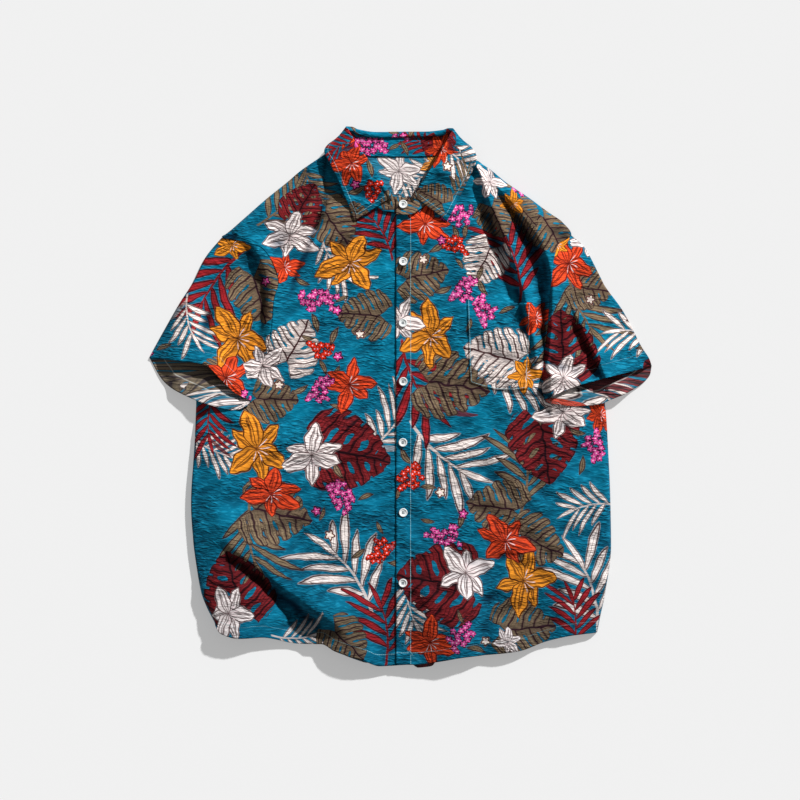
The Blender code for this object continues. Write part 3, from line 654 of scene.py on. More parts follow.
def hollows(height):
    """How deep each spot lies between the folds round it, from 0 to 1."""
    around, window = height, 2 * HOLLOW_REACH + 1
    for axis in (0, 1):
        pad = [(HOLLOW_REACH, HOLLOW_REACH) if k == axis else (0, 0) for k in (0, 1)]
        padded, count = np.pad(around, pad, mode="edge"), height.shape[axis]
        around = sum(np.take(padded, range(k, k + count), axis=axis) for k in range(window)) / window
    return np.clip((around - height) / FULL_HOLLOW, 0.0, 1.0)


def run_length(net, axis):
    """Distance along the net from its first row or column."""
    steps = np.linalg.norm(np.diff(net, axis=axis), axis=2)
    start = np.zeros_like(np.take(steps, [0], axis=axis))
    return np.cumsum(np.concatenate((start, steps), axis=axis), axis=axis)


square = np.array([[[0.0, 0.0, 0.0], [1.0, 0.0, 0.0]], [[0.0, 1.0, 0.0], [1.0, 1.0, 0.0]]])
print("along a net of one square, each row is", run_length(square, 1)[0, -1], "long")

# %% [markdown]
# ## Fronts
#
# The two fronts lie on top, and the left one laps over the right one and carries the
# buttons. Each net runs in level rows from the button edge out to the side, sleeve or
# shoulder, and its lowest rows bend to the line of the hem. Where the side turns down, the
# cloth coordinates go on by the length of the cloth, so that the print isn't stretched.

# %% Fronts
FRONT_COLUMNS, FRONT_ROWS = 132, 310
CLOTH_WALL = 0.0006
HEM_STITCH, EDGE_STITCH_X = 0.0160, 0.0137
FAINT = 0.00044  # the hem's stitches keep this far from their line, so they show only faintly


def front(name, edge, side, hem, height, edge_stitch):
    """A front between its button edge and its side. edge_stitch adds the row beside the buttons."""
    y = np.linspace(HEM_Y, max(row[0] for row in side), FRONT_ROWS)[:, None]
    inner, outer = guide(edge)(y), guide(side)(y)
    share = np.linspace(0.0, 1.0, FRONT_COLUMNS)[None, :]
    x = inner + (outer - inner) * share
    over_hem = above_lowest(hem, x)
    y = y + near_hem(y) * over_hem
    net = np.stack((x, y, height(x, y)), axis=2)
    slack = run_length(net, 1) - np.abs(x - inner)
    turned = from_outline(x, y) < 1.5 * EDGE_ROUND
    slack = np.cumsum(np.diff(slack, axis=1, prepend=0.0) * turned, axis=1)
    cloth = np.stack((x + np.sign(outer - inner) * slack, y), axis=2)
    across, along = y - HEM_Y - over_hem - HEM_STITCH, x + 0 * y
    across = np.where(np.abs(across) < FAINT, FAINT, across)
    if edge_stitch:
        nearer = np.abs(x - EDGE_STITCH_X) < np.abs(across)
        across, along = np.where(nearer, x - EDGE_STITCH_X, across), np.where(nearer, y, along)
    thread = np.stack((across, along, hollows(body_height(x, y))), axis=2)
    if outer.mean() < 0.0:
        net, cloth, thread = net[:, ::-1], cloth[:, ::-1], thread[:, ::-1]
    return sheet(name, net, cloth, thread, CLOTH_WALL)


front_right = front("right_front_cloth", RIGHT_EDGE, RIGHT_SIDE, RIGHT_HEM, front_height, False)
front_left = front("left_front_cloth", LEFT_EDGE, LEFT_SIDE, LEFT_HEM, left_front_height, True)

# %% [markdown]
# ## Back
#
# Of the back, one sees the inside behind the neck, a strip at the hem and, from low down,
# its underside. It is one flat sheet on the ground, a millimetre inside the fronts'
# outline. It rises a little to meet the collar, and curls up with the right side seam.

# %% Back
BACK_COLUMNS, BACK_ROWS, SIDE_INSET = 150, 170, 0.0010
BACK_Z, BACK_TOP_Y, BACK_RISE = 0.0006, 0.3290, 0.0012
# How far the back's hem shows below the fronts', as rows of (x, depth).
BACK_PEEK = (
    (-0.090, 0.0), (-0.072, 0.0048), (-0.050, 0.0052), (-0.034, 0.0), (0.012, 0.0),
    (0.024, 0.0075), (0.042, 0.0080), (0.050, 0.0),
)
BACK_NECK = (
    (-0.080, 0.327), (-0.066, 0.3290), (-0.040, 0.3288), (0.0, 0.3285), (0.040, 0.3288),
    (0.066, 0.3285), (0.079, 0.321),
)
RIGHT_BACK = ((0.0, -0.276), (0.014, -0.200), (0.100, -0.200), (0.190, -0.215), (0.218, -0.243))
LEFT_BACK = ((0.0, 0.276), (0.014, 0.192), (0.100, 0.202), (0.190, 0.214), (0.221, 0.232))


def back_side(side, armhole):
    """The side of the back, which takes its own way under the sleeve."""
    rows = [row for row in side if row[0] < -0.002 or row[0] > armhole[-1][0]]
    return guide([*rows, *armhole])


share = np.linspace(0.0, 1.0, BACK_COLUMNS)[None, :]
y = np.linspace(HEM_Y, BACK_TOP_Y, BACK_ROWS)[:, None]
right_x = back_side(RIGHT_SIDE, RIGHT_BACK)(y) + SIDE_INSET
left_x = back_side(LEFT_SIDE, LEFT_BACK)(y) - SIDE_INSET
x = right_x + (left_x - right_x) * share
hem_rows = sorted({*RIGHT_HEM[:-1], *LEFT_HEM})
over_hem = above_lowest(hem_rows, x)
y = y + near_hem(y) * over_hem
y = y + (0.0015 - guide(BACK_PEEK)(x)) * np.clip((HEM_BEND - y) / 0.1, 0.0, 1.0)
y = np.minimum(y, guide(BACK_NECK)(x))
rise = BACK_RISE * ease((y - 0.270) / 0.050) * ease((0.078 - np.abs(x)) / 0.03)
z = BACK_Z + rise + 0.3 * rise * hills(x, y, 0.030, 0.012, 8) + side_lift(x, y)
net = np.stack((x, y, z), axis=2)
thread = np.stack((y - HEM_Y - over_hem - HEM_STITCH, x, 0 * x), axis=2)
back = sheet("back_cloth", net[:, ::-1], net[:, ::-1, :2], thread[:, ::-1], CLOTH_WALL)

# %% [markdown]
# ## Sleeves
#
# A sleeve is a tube that was pressed flat. Its net fills four border lines: the armhole,
# the hem, the folded outer edge and the underarm. The upper layer stands clear of the
# lower one, most of all at the hem, where one looks into it. The inner part of the tube
# lies on the body and steps down to the ground outside it.

# %% Sleeve sizes
SLEEVE_PUFF, FOLD_TALL, SEAM_TUCK, UNDER_TUCK = 0.0030, 0.0030, 0.0007, 0.0004
GROUND_Z, ON_BODY, BODY_LOWEST = 0.0007, 0.0016, 0.003  # where the lower layer lies
LEDGE_CLEAR, LEDGE_RAMP, BODY_X = 0.020, 0.022, 0.277
SLEEVE_LOWEST, LAYERS_APART, LOWER_LOWEST = 0.0024, 0.0012, 0.0005
SEAM_JOIN, OUTER_TURN = 0.30, 0.08  # shares of the sleeve's length and width
SLEEVE_ROWS, SLEEVE_COLUMNS, CUFF_STITCH = 90, 86, 0.020

RIGHT_CUT = {
    "armhole": ((-0.243, 0.218), (-0.211, 0.211), (-0.188, 0.203), (-0.172, 0.180), (-0.165, 0.156),
                (-0.171, 0.133), (-0.175, 0.092), (-0.187, 0.048), (-0.200, 0.014)),
    "under_armhole": ((-0.243, 0.218), (-0.215, 0.190), (-0.204, 0.150), (-0.200, 0.100),
                      (-0.199, 0.055), (-0.200, 0.014)),
    "hem": ((-0.341, 0.054), (-0.307, 0.050), (-0.279, 0.047), (-0.259, 0.041), (-0.243, 0.024),
            (-0.224, 0.006), (-0.203, -0.004)),
    "under_hem": ((-0.341, 0.053), (-0.320, 0.020), (-0.284, -0.001), (-0.245, -0.014),
                  (-0.221, -0.017), (-0.203, -0.008)),
    "outer": ((-0.243, 0.218), (-0.265, 0.190), (-0.282, 0.156), (-0.298, 0.131), (-0.313, 0.105),
              (-0.332, 0.071), (-0.341, 0.054)),
    "ledge": ((0.200, 0.014), (0.214, 0.010), (0.277, -0.001)),
    "mouth": 0.0065,
    "air": ((0.200, 0.0050), (0.245, 0.0080), (0.273, 0.0090), (0.300, 0.0060), (0.322, 0.0015),
            (0.341, 0.0)),
    "folds": (
        (((-0.222, 0.165, 0.0), (-0.232, 0.125, 1.0), (-0.246, 0.085, 0.8), (-0.256, 0.050, 0.3)),
         0.0050, 0.0120, 0.0160),
        (((-0.205, 0.120, 0.0), (-0.214, 0.090, 1.0), (-0.226, 0.050, 0.9), (-0.232, 0.025, 0.4)),
         -0.0030, 0.0080, 0.0080),
        (((-0.258, 0.175, 0.0), (-0.272, 0.135, 1.0), (-0.288, 0.095, 0.8), (-0.300, 0.060, 0.3)),
         0.0042, 0.0130, 0.0130),
        (((-0.240, 0.170, 0.0), (-0.255, 0.125, 1.0), (-0.270, 0.085, 0.8), (-0.280, 0.055, 0.2)),
         -0.0030, 0.0080, 0.0080),
        (((-0.262, 0.105, 0.0), (-0.296, 0.092, 0.9), (-0.322, 0.082, 0.3)), 0.0022, 0.0080, 0.0080),
    ),
}
LEFT_CUT = {
    "armhole": ((0.232, 0.221), (0.214, 0.208), (0.208, 0.190), (0.205, 0.167), (0.202, 0.133),
                (0.199, 0.092), (0.194, 0.051), (0.192, 0.014)),
    "under_armhole": ((0.232, 0.221), (0.214, 0.190), (0.207, 0.150), (0.202, 0.100),
                      (0.196, 0.055), (0.192, 0.014)),
    "hem": ((0.341, 0.043), (0.312, 0.035), (0.279, 0.027), (0.265, 0.023), (0.237, 0.015),
            (0.210, 0.004), (0.195, -0.003)),
    "under_hem": ((0.341, 0.040), (0.338, 0.029), (0.326, 0.017), (0.305, 0.005), (0.285, -0.003),
                  (0.269, -0.009), (0.237, -0.012), (0.210, -0.009), (0.195, -0.006)),
    "outer": ((0.232, 0.221), (0.251, 0.202), (0.271, 0.164), (0.279, 0.149), (0.299, 0.122),
              (0.312, 0.099), (0.326, 0.071), (0.337, 0.054), (0.341, 0.043)),
    "ledge": ((0.192, 0.014), (0.211, 0.005), (0.277, -0.006)),
    "mouth": 0.0055,
    "air": ((0.195, 0.0), (0.250, 0.0010), (0.285, 0.0030), (0.315, 0.0025), (0.341, 0.0)),
    "folds": (
        # The outer half of this sleeve laps over its inner half.
        (((0.221, 0.156, 0.0), (0.229, 0.134, 0.2), (0.243, 0.101, 0.5), (0.256, 0.074, 0.75),
          (0.267, 0.051, 1.0), (0.278, 0.024, 1.0)), 0.0105, 0.0300, 0.0022),
        (((0.224, 0.195, 0.0), (0.222, 0.150, 1.0), (0.226, 0.100, 0.7), (0.232, 0.050, 0.3)),
         0.0035, 0.0120, 0.0120),
        (((0.222, 0.120, 0.0), (0.236, 0.095, 1.0), (0.250, 0.065, 1.0), (0.264, 0.030, 0.8)),
         -0.0030, 0.0040, 0.0080),
    ),
}
print("the right sleeve's armhole has", len(RIGHT_CUT["armhole"]), "guide points")


# %% Filling a net between four lines
def filled(start, end, first, last, rows, columns):
    """A net of (x, y) between four border lines."""
    start, end = rounded(start, columns)[None], rounded(end, columns)[None]
    first, last = rounded(first, rows)[:, None], rounded(last, rows)[:, None]
    t, s = np.linspace(0, 1, rows)[:, None, None], np.linspace(0, 1, columns)[None, :, None]
    left, right = [(1 - t) * start[:, k] + t * end[:, k] for k in (slice(0, 1), slice(-1, None))]
    corners = (1 - s) * left + s * right
    return (1 - t) * start + t * end + (1 - s) * first + s * last - corners


# %% Sleeves
def sleeve(name, cut):
    """A flattened tube: the upper layer from the outer fold inwards, and the lower one back."""
    sign = math.copysign(1.0, cut["outer"][0][0])
    ledge = guide(cut["ledge"])

    def lying(x, y):
        """The middle of the lower layer: on the ground, or on the body inside the ledge."""
        outside = np.maximum(np.maximum(y - ledge(np.abs(x)), np.abs(x) - BODY_X), 0.0)
        on_body = np.maximum(body_height(x, y), BODY_LOWEST) + ON_BODY
        return GROUND_Z + (on_body - GROUND_Z) * ease(1.0 - (outside - LEDGE_CLEAR) / LEDGE_RAMP)

    armhole = [(x - sign * SEAM_TUCK, y) for x, y in cut["armhole"]]
    under = [(x + sign * UNDER_TUCK, y - UNDER_TUCK) for x, y in cut["under_armhole"]]
    outer = [armhole[0], *cut["outer"][1:]]
    hem, under_hem = cut["hem"], cut["under_hem"]
    size = (SLEEVE_ROWS, SLEEVE_COLUMNS)
    upper = filled(armhole, hem, outer, (armhole[-1], hem[-1]), *size)
    lower = filled(under, under_hem, [*outer[:-1], under_hem[0]], (under[-1], under_hem[-1]), *size)
    t = np.linspace(0, 1, SLEEVE_ROWS)[:, None]
    s = np.linspace(0, 1, SLEEVE_COLUMNS)[None, :]
    x, y = upper[..., 0], upper[..., 1]
    swell = np.sqrt(np.maximum(0.0, 1.0 - (2.0 * s - 1.0) ** 2))
    folds = np.minimum(1.0, 5.0 * s * (1 - s)) * folded(cut["folds"], x, y)
    mouth = cut["mouth"] * ease((t - 0.55) / 0.45) * np.sin(math.pi * s**0.8) ** 1.2
    air = guide(cut["air"])
    opening = ease((t - 0.45) / 0.50)
    puff = FOLD_TALL * swell + SLEEVE_PUFF * np.sin(math.pi * s)
    own = lying(x, y) + opening * air(np.abs(x)) + puff + folds + mouth
    # The crinkle runs across the arm, so its place is turned.
    own = own + crinkle(x * 0.8 + 0.6 * y, y * 0.8 - 0.6 * x) * np.minimum(1.0, 12.0 * s * (1 - s))
    own = at_least(own, SLEEVE_LOWEST)
    seam = np.maximum(body_height(x, y), lying(x, y)) - UNDER_TUCK
    turning = np.sqrt(1 - np.maximum(0.0, 1 - s / OUTER_TURN) ** 2)
    seam = EDGE_Z + (seam - EDGE_Z) * turning
    top = seam + (own - seam) * ease(t / SEAM_JOIN)
    top = top - 0.0006 * np.exp(-((t / 0.02) ** 2))  # the line of the seam
    low_x, low_y = lower[..., 0], lower[..., 1]
    bottom = lying(low_x, low_y) + opening * air(np.abs(low_x))
    under_top = top - LAYERS_APART * np.minimum(1.0, 40 * s * (1 - s))
    bottom = np.minimum(bottom, np.maximum(under_top, LOWER_LOWEST))
    over = np.stack((x, y, top), axis=2)
    beneath = np.stack((low_x, low_y, bottom), axis=2)[:, -2:0:-1]
    net = np.concatenate((over, beneath, over[:, :1]), axis=1)
    # Cloth coordinates: the upper layer as it lies, the lower one mirrored about the outer fold.
    mirrored = 2.0 * over[:, :1, :2] - beneath[..., :2]
    mirrored[..., 1] = beneath[..., 1]
    cloth = np.concatenate((over[..., :2], mirrored, over[:, :1, :2]), axis=1)
    length = run_length(net, 0)
    across = length[-1:] - length - CUFF_STITCH
    deep = hollows(top)
    hollow = np.concatenate((deep, 0 * bottom[:, 1:-1], deep[:, :1]), axis=1)
    thread = np.stack((across, run_length(net, 1), hollow), axis=2)
    if sign > 0:
        net, cloth, thread = net[:, ::-1], cloth[:, ::-1], thread[:, ::-1]
    net, cloth, thread = net[::-1], cloth[::-1], thread[::-1]
    return sheet(name, net, cloth, thread, CLOTH_WALL, tube=True)


sleeve_right = sleeve("right_sleeve_cloth", RIGHT_CUT)
sleeve_left = sleeve("left_sleeve_cloth", LEFT_CUT)

# %% [markdown]
# ## Collar
#
# The collar is two pieces: a stand that goes up from the neck seam, and a leaf that folds
# over at its top and lies down on the shirt with two points. Both come from one table of
# sections round the neck. Each section says where the seam, the fold and the leaf's outer
# edge are, and None is a height that follows the cloth below. The nets are smooth curves
# along the table.

# %% Collar sections: seam x y z, roll x y z, turn share and height, edge x y z
COLLAR = (
    (-0.016, 0.2485, None, -0.011, 0.271, 0.0150, 0.30, 0.0140, -0.063, 0.239, None),
    (-0.038, 0.262, None, -0.024, 0.289, 0.0190, 0.30, 0.0180, -0.068, 0.254, None),
    (-0.057, 0.280, None, -0.035, 0.305, 0.0220, 0.30, 0.0210, -0.076, 0.273, 0.0140),
    (-0.071, 0.300, None, -0.047, 0.323, 0.0250, 0.30, 0.0240, -0.086, 0.297, 0.0170),
    (-0.077, 0.313, None, -0.059, 0.339, 0.0260, 0.30, 0.0250, -0.095, 0.316, 0.0190),
    (-0.080, 0.325, None, -0.067, 0.353, 0.0250, 0.35, 0.0230, -0.103, 0.333, 0.0170),
    (-0.066, 0.329, 0.0030, -0.073, 0.365, 0.0180, 0.40, 0.0130, -0.089, 0.348, 0.0060),
    (-0.060, 0.329, 0.0030, -0.066, 0.365, 0.0130, -0.05, 0.0070, -0.077, 0.344, 0.0040),
    (-0.054, 0.3285, 0.0030, -0.058, 0.362, 0.0090, -0.10, 0.0036, -0.062, 0.336, 0.0012),
    (-0.030, 0.3275, 0.0030, -0.032, 0.3585, 0.0064, -0.08, 0.0026, -0.032, 0.331, 0.00075),
    (0.0, 0.327, 0.0030, 0.0, 0.359, 0.0060, -0.08, 0.0026, 0.0, 0.3305, 0.00075),
    (0.030, 0.3275, 0.0030, 0.032, 0.359, 0.0066, -0.08, 0.0026, 0.032, 0.331, 0.00075),
    (0.054, 0.3285, 0.0030, 0.057, 0.361, 0.0095, -0.10, 0.0036, 0.062, 0.336, 0.0012),
    (0.060, 0.3285, 0.0030, 0.065, 0.363, 0.0135, -0.05, 0.0070, 0.076, 0.342, 0.0040),
    (0.065, 0.3275, 0.0030, 0.071, 0.362, 0.0185, 0.40, 0.0135, 0.087, 0.345, 0.0060),
    (0.079, 0.320, None, 0.065, 0.349, 0.0250, 0.35, 0.0230, 0.103, 0.325, 0.0110),
    (0.077, 0.312, None, 0.058, 0.336, 0.0260, 0.30, 0.0250, 0.098, 0.309, None),
    (0.071, 0.300, None, 0.049, 0.320, 0.0260, 0.30, 0.0250, 0.090, 0.292, None),
    (0.057, 0.280, None, 0.039, 0.304, 0.0230, 0.30, 0.0220, 0.080, 0.272, None),
    (0.038, 0.263, None, 0.028, 0.288, 0.0200, 0.30, 0.0190, 0.072, 0.255, None),
    (0.022, 0.253, None, 0.017, 0.273, 0.0170, 0.30, 0.0160, 0.063, 0.239, None),
)
# Creases of the leaf, in the same form as the body's folds.
LEAF_FOLDS = (
    (((-0.092, 0.306, 0.3), (-0.070, 0.308, 1.0), (-0.046, 0.301, 1.0), (-0.024, 0.292, 0.5)),
     0.0034, 0.0120, 0.0070),
    (((-0.078, 0.284, 0.4), (-0.060, 0.277, 1.0), (-0.038, 0.272, 0.8)), -0.0040, 0.0090, 0.0090),
    (((0.030, 0.304, 0.4), (0.046, 0.309, 1.0), (0.066, 0.300, 0.9), (0.082, 0.286, 0.2)),
     0.0032, 0.0100, 0.0070),
    (((0.026, 0.272, 0.6), (0.044, 0.280, 1.0), (0.058, 0.276, 0.8)), -0.0036, 0.0070, 0.0070),
)
STAND_FOOT, STAND_TUCK, LEAF_CLEAR, LEAF_LIP, LEAF_TURN = 0.0017, 0.0042, 0.0012, 0.0010, 0.0062
LEAF_EDGE_LIE, LEAF_LIE, NAPE_Y = 0.0012, 0.0013, 0.322
COLLAR_WALL, COLLAR_STITCH = 0.0013, 0.0060
COLLAR_COLUMNS, LEAF_ROWS, STAND_ROWS = 300, 44, 26


def collar_lines(sections, columns):
    """Seam, roll, turn and edge as smooth lines round the neck."""
    rows = []
    for sx, sy, sz, rx, ry, rz, share, turn_z, ex, ey, ez in sections:
        if sz is None:
            sz = float(upper_height(np.array(sx), np.array(sy))) + PLY / 2 + STAND_FOOT
        if ez is None:
            ez = float(upper_height(np.array(ex), np.array(ey))) + LEAF_EDGE_LIE
        tx, ty = rx + share * (ex - rx), ry + share * (ey - ry)
        rows.append((rx, ry, rz, sx, sy, sz, tx, ty, turn_z, ex, ey, ez))
    rows = np.array(rows)
    run = np.concatenate(([0.0], np.cumsum(np.linalg.norm(np.diff(rows[:, :3], axis=0), axis=1))))
    places = np.linspace(0.0, run[-1], columns)
    smooth = np.stack([guide(list(zip(run, axis)))(places) for axis in rows.T], axis=1)
    return smooth[:, 3:6], smooth[:, 0:3], smooth[:, 6:9], smooth[:, 9:12]


# %% Collar leaf
seam, roll, turn, edge = collar_lines(COLLAR, COLLAR_COLUMNS)
outward = roll - seam
crest = roll + LEAF_CLEAR * outward / np.linalg.norm(outward, axis=1, keepdims=True)
t = np.linspace(0.0, 1.0, LEAF_ROWS)[:, None, None]
leaf = (1 - t) ** 2 * crest + 2 * t * (1 - t) * turn + t * t * edge
x, y = leaf[..., 0], leaf[..., 1]
resting = upper_height(x, y) + LEAF_LIE
on_shirt = (np.abs(x) > 0.012) & (y < NAPE_Y)
creased = folded(LEAF_FOLDS, x, y) + 0.0013 * hills(x, y, 0.026, 0.016, 11)
leaf[..., 2] += creased * np.minimum(1.0, 3 * t[..., 0])
leaf[..., 2] = np.where(on_shirt, np.maximum(leaf[..., 2], resting), leaf[..., 2])
inward = (seam - roll) / np.linalg.norm(seam - roll, axis=1, keepdims=True)
over_top = np.array((0.0, 0.0, LEAF_LIP))
turned_in = []  # two rows that go down inside the stand, behind the fold
for share, lip in ((1.0, 1.0), (0.35, 1.2)):
    turned_in.append(roll + share * LEAF_TURN * inward + lip * over_top)
leaf = np.concatenate((turned_in, leaf))
wide = run_length(leaf, 0)
along = run_length(leaf, 1)
from_edge = np.minimum(wide[-1:] - wide, np.minimum(along, along[:, -1:] - along))
thread = np.stack((from_edge - COLLAR_STITCH, along, hollows(leaf[..., 2])), axis=2)
cloth = leaf[..., :2].copy()
behind = ease((leaf[..., 1] - 0.330) / 0.010) * (np.abs(crest[None, :, 0]) < 0.062)
cloth[..., 1] = cloth[..., 1] * (1 - behind) + behind * (crest[None, :, 1] + wide)
collar_leaf = sheet("collar_leaf_cloth", leaf, cloth, thread, COLLAR_WALL, double=True)

# %% Collar stand
tuck = np.minimum(STAND_TUCK, 0.3 * roll[:, 2:])
top = roll + tuck * (seam - roll) / np.linalg.norm(seam - roll, axis=1, keepdims=True)
top[:, 2] = roll[:, 2] - tuck[:, 0]
low_y = NECK_Y + 0.001
foot_z = float(upper_height(np.array(0.0), np.array(low_y))) + PLY / 2 + STAND_FOOT
top_y, top_z = COLLAR[0][4] - 0.001, COLLAR[0][5] - STAND_TUCK
ends = []  # of the stand: the right one below, then the left one, which laps over it
for x, layer in ((0.012, 0), (0.015, 1), (EDGE_X, 1)):
    lift = layer * (PLY + 0.0003)
    ends.append(((x, low_y, foot_z + lift), (x, top_y, top_z + lift)))
first = [np.array(ends[0][k])[None] for k in (0, 1)]
last = [np.array([ends[1][k], ends[2][k]]) for k in (0, 1)]
foot_line, top_line = [
    np.concatenate((first[k], line[6:-6], last[k])) for k, line in enumerate((seam, top))
]
foot_line, top_line = rounded(foot_line, COLLAR_COLUMNS), rounded(top_line, COLLAR_COLUMNS)
t = np.linspace(0.0, 1.0, STAND_ROWS)[:, None, None]
stand = (1 - t) * foot_line + t * top_line
wide, along = run_length(stand, 0), run_length(stand, 1)
unstitched = np.minimum(wide[-1:] - wide, wide) + 0.002
thread = np.stack((unstitched, along, 0 * along), axis=2)
stand, thread = stand[:, ::-1], thread[:, ::-1]
collar_stand = sheet("collar_stand_cloth", stand, stand[..., :2], thread, COLLAR_WALL, double=True)

# %% [markdown]
# ## Pocket
#
# A patch pocket of the same cloth, sewn on the left breast along its sides and its lower
# edge. It lies on the front and follows every fold of it, one thickness further out.

# %% Pocket
TOP_IN, TOP_OUT, LOW_IN, LOW_OUT = (0.090, 0.134), (0.176, 0.127), (0.094, 0.020), (0.172, 0.012)
POCKET_ROWS, POCKET_COLUMNS, POCKET_STITCH = 64, 46, 0.0022
POCKET_SAG, POCKET_LIE, POCKET_BULGE, POCKET_BRIDGE = 0.006, 0.0009, 0.0012, 0.002

low = []
for k in range(9):
    level = LOW_IN[1] + k / 8 * (LOW_OUT[1] - LOW_IN[1])
    level = level - POCKET_SAG * math.sin(math.pi * k / 8)
    low.append((LOW_IN[0] + k / 8 * (LOW_OUT[0] - LOW_IN[0]), level))
sides = (LOW_IN, TOP_IN), (LOW_OUT, TOP_OUT)
flat = filled(low, (TOP_IN, TOP_OUT), *sides, POCKET_ROWS, POCKET_COLUMNS)
x, y = flat[..., 0], flat[..., 1]
asides = (-POCKET_BRIDGE, 0.0, POCKET_BRIDGE)
under = np.max([left_front_height(x + aside, y) for aside in asides], axis=0)
t, s = np.linspace(0, 1, POCKET_ROWS)[:, None], np.linspace(0, 1, POCKET_COLUMNS)[None, :]
bulge = POCKET_BULGE * np.sin(math.pi * s) * t
net = np.stack((x, y, under + POCKET_LIE + bulge), axis=2)
wide, tall = run_length(net, 1), run_length(net, 0)
from_edge = np.minimum(np.minimum(wide, wide[:, -1:] - wide), tall)
thread = np.stack((from_edge - POCKET_STITCH, wide + tall, hollows(under)), axis=2)
pocket = sheet("pocket_cloth", net, flat, thread, CLOTH_WALL)

# %% [markdown]
# ## The print: which flower grows where
#
# The cloth has a tropical print of lilies, cheese-plant leaves, palm fronds and clusters of
# small blossoms on teal. An image would blur close up, and hundreds of hand-wired nodes
# would be hard to change. Here every motif is drawn by a formula in its own small
# coordinates, and a table says where each one stands, which way it points, how large it is
# and in which tint. `plant` writes, for each corner of each face, where it lies inside the
# nearest motif of a kind. A kind has one to three layers, so that its motifs may overlap.

# %% Tints of the print: body colour and ink colour
TINTS = (
    ("OLIVE", tone(136, 117, 91), tone(46, 20, 30)),
    ("MAROON", tone(132, 34, 38), tone(34, 6, 13)),
    ("CREAM", tone(252, 238, 231), tone(64, 28, 30)),
    ("CRIMSON", tone(164, 36, 42), tone(44, 8, 15)),
    ("YELLOW", tone(246, 154, 44), tone(66, 22, 12)),
    ("RED", tone(240, 78, 38), tone(74, 9, 14)),
    ("WHITE", tone(254, 241, 237), tone(70, 28, 32)),
    ("PINK", tone(226, 84, 158), tone(58, 8, 42)),
    ("BERRY", tone(222, 50, 26), tone(76, 10, 14)),
    ("PETAL", tone(244, 228, 212), tone(96, 48, 40)),
)
OLIVE, MAROON, CREAM, CRIMSON, YELLOW, RED, WHITE, PINK, BERRY, PETAL = range(len(TINTS))
print("tints:", ", ".join(name.lower() for name, body, ink in TINTS))

# %% Motifs on the fronts
# Rows of x, y, direction in degrees, size and tint, in millimetres from the middle of the
# shirt. A cluster has no direction, and its size is its radius.
RIGHT_PRINT = {
    "lily": (
        (-194, -69, 40, 52, YELLOW), (-69, 184, 10, 48, YELLOW), (-69, 17, 75, 39, RED),
        (-175, -129, 20, 42, RED), (-157, 176, 80, 27, RED), (-229, 27, 60, 35, RED),
        (-188, 43, 100, 38, WHITE), (-120, -78, 30, 46, WHITE), (-232, -292, 60, 41, WHITE),
        (-150, 220, 20, 41, WHITE),
    ),
    "monstera": (
        (-44, 112, 178, 45, OLIVE), (-180, -2, -2, 45, OLIVE), (-177, -156, -12, 60, OLIVE),
        (-93, 239, -55, 46, OLIVE), (-78, -326, -45, 44, OLIVE), (-80, -74, -12, 72, MAROON),
        (-221, -265, 105, 63, MAROON), (-134, 258, 60, 38, MAROON), (-146, 65, 62, 49, CREAM),
    ),
    "frond": (
        (-71, -236, 128, 58, CREAM), (-15, -41, 52, 41, CREAM), (-253, -70, -25, 32, CREAM),
        (-140, -325, 4, 30, CREAM), (-87, 182, -52, 35, CREAM), (-259, -32, -92, 34, CRIMSON),
        (-22, -310, 100, 46, CRIMSON), (-29, 227, 122, 38, CRIMSON), (-200, -195, -80, 52, OLIVE),
        (-157, 265, 48, 41, OLIVE), (-119, 286, -60, 30, OLIVE),
    ),
    "cluster": (
        (-112, 133, 31, PINK), (-107, 10, 29, PINK), (-82, -133, 34, PINK), (-107, 66, 23, BERRY),
        (-28, -207, 29, BERRY), (-86, 118, 8, PINK), (-85, 56, 8, PINK), (-114, -154, 8, PINK),
        (-55, 86, 8, PETAL), (-165, 17, 8, PETAL), (-96, -187, 8, PETAL),
    ),
}
LEFT_PRINT = {
    "lily": (
        (40, 85, 25, 48, YELLOW), (167, -248, 70, 48, YELLOW), (-3, 103, 60, 38, WHITE),
        (33, 235, 15, 37, RED), (142, -194, 50, 42, RED), (40, -331, 30, 39, RED),
        (88, -237, 80, 42, WHITE), (220, -20, 15, 41, WHITE), (271, -24, 70, 27, RED),
        (183, 108, 70, 27, RED), (169, 31, 70, 27, YELLOW), (145, -330, 15, 22, WHITE),
    ),
    "monstera": (
        (24, 165, 12, 45, OLIVE), (61, 18, -8, 63, OLIVE), (138, -150, 172, 52, OLIVE),
        (179, -194, -25, 49, OLIVE), (160, -313, 5, 54, OLIVE), (201, 231, -60, 44, OLIVE),
        (194, -58, -82, 63, MAROON), (61, -251, 172, 72, MAROON), (115, 187, 245, 42, CREAM),
        (135, 55, 165, 54, CREAM),
    ),
    "frond": (
        (60, -80, -38, 57, CREAM), (256, -258, 108, 58, CREAM), (14, -283, -75, 36, CREAM),
        (256, -148, 190, 34, CREAM), (158, 26, -20, 46, CREAM), (23, 19, -62, 54, CRIMSON),
        (235, -297, 95, 38, CRIMSON), (153, 183, 108, 46, CRIMSON), (169, -97, 93, 49, OLIVE),
        (217, 86, -90, 41, OLIVE),
    ),
    "cluster": (
        (78, 248, 26, PINK), (88, 146, 29, PINK), (114, 120, 29, PINK), (61, -187, 30, PINK),
        (81, -323, 26, PINK), (262, -67, 29, PINK), (74, 206, 23, BERRY), (13, -108, 27, BERRY),
        (56, 213, 8, PINK), (85, -158, 8, PINK), (31, 187, 8, PETAL), (115, -330, 8, PETAL),
        (54, -129, 8, PETAL),
    ),
}

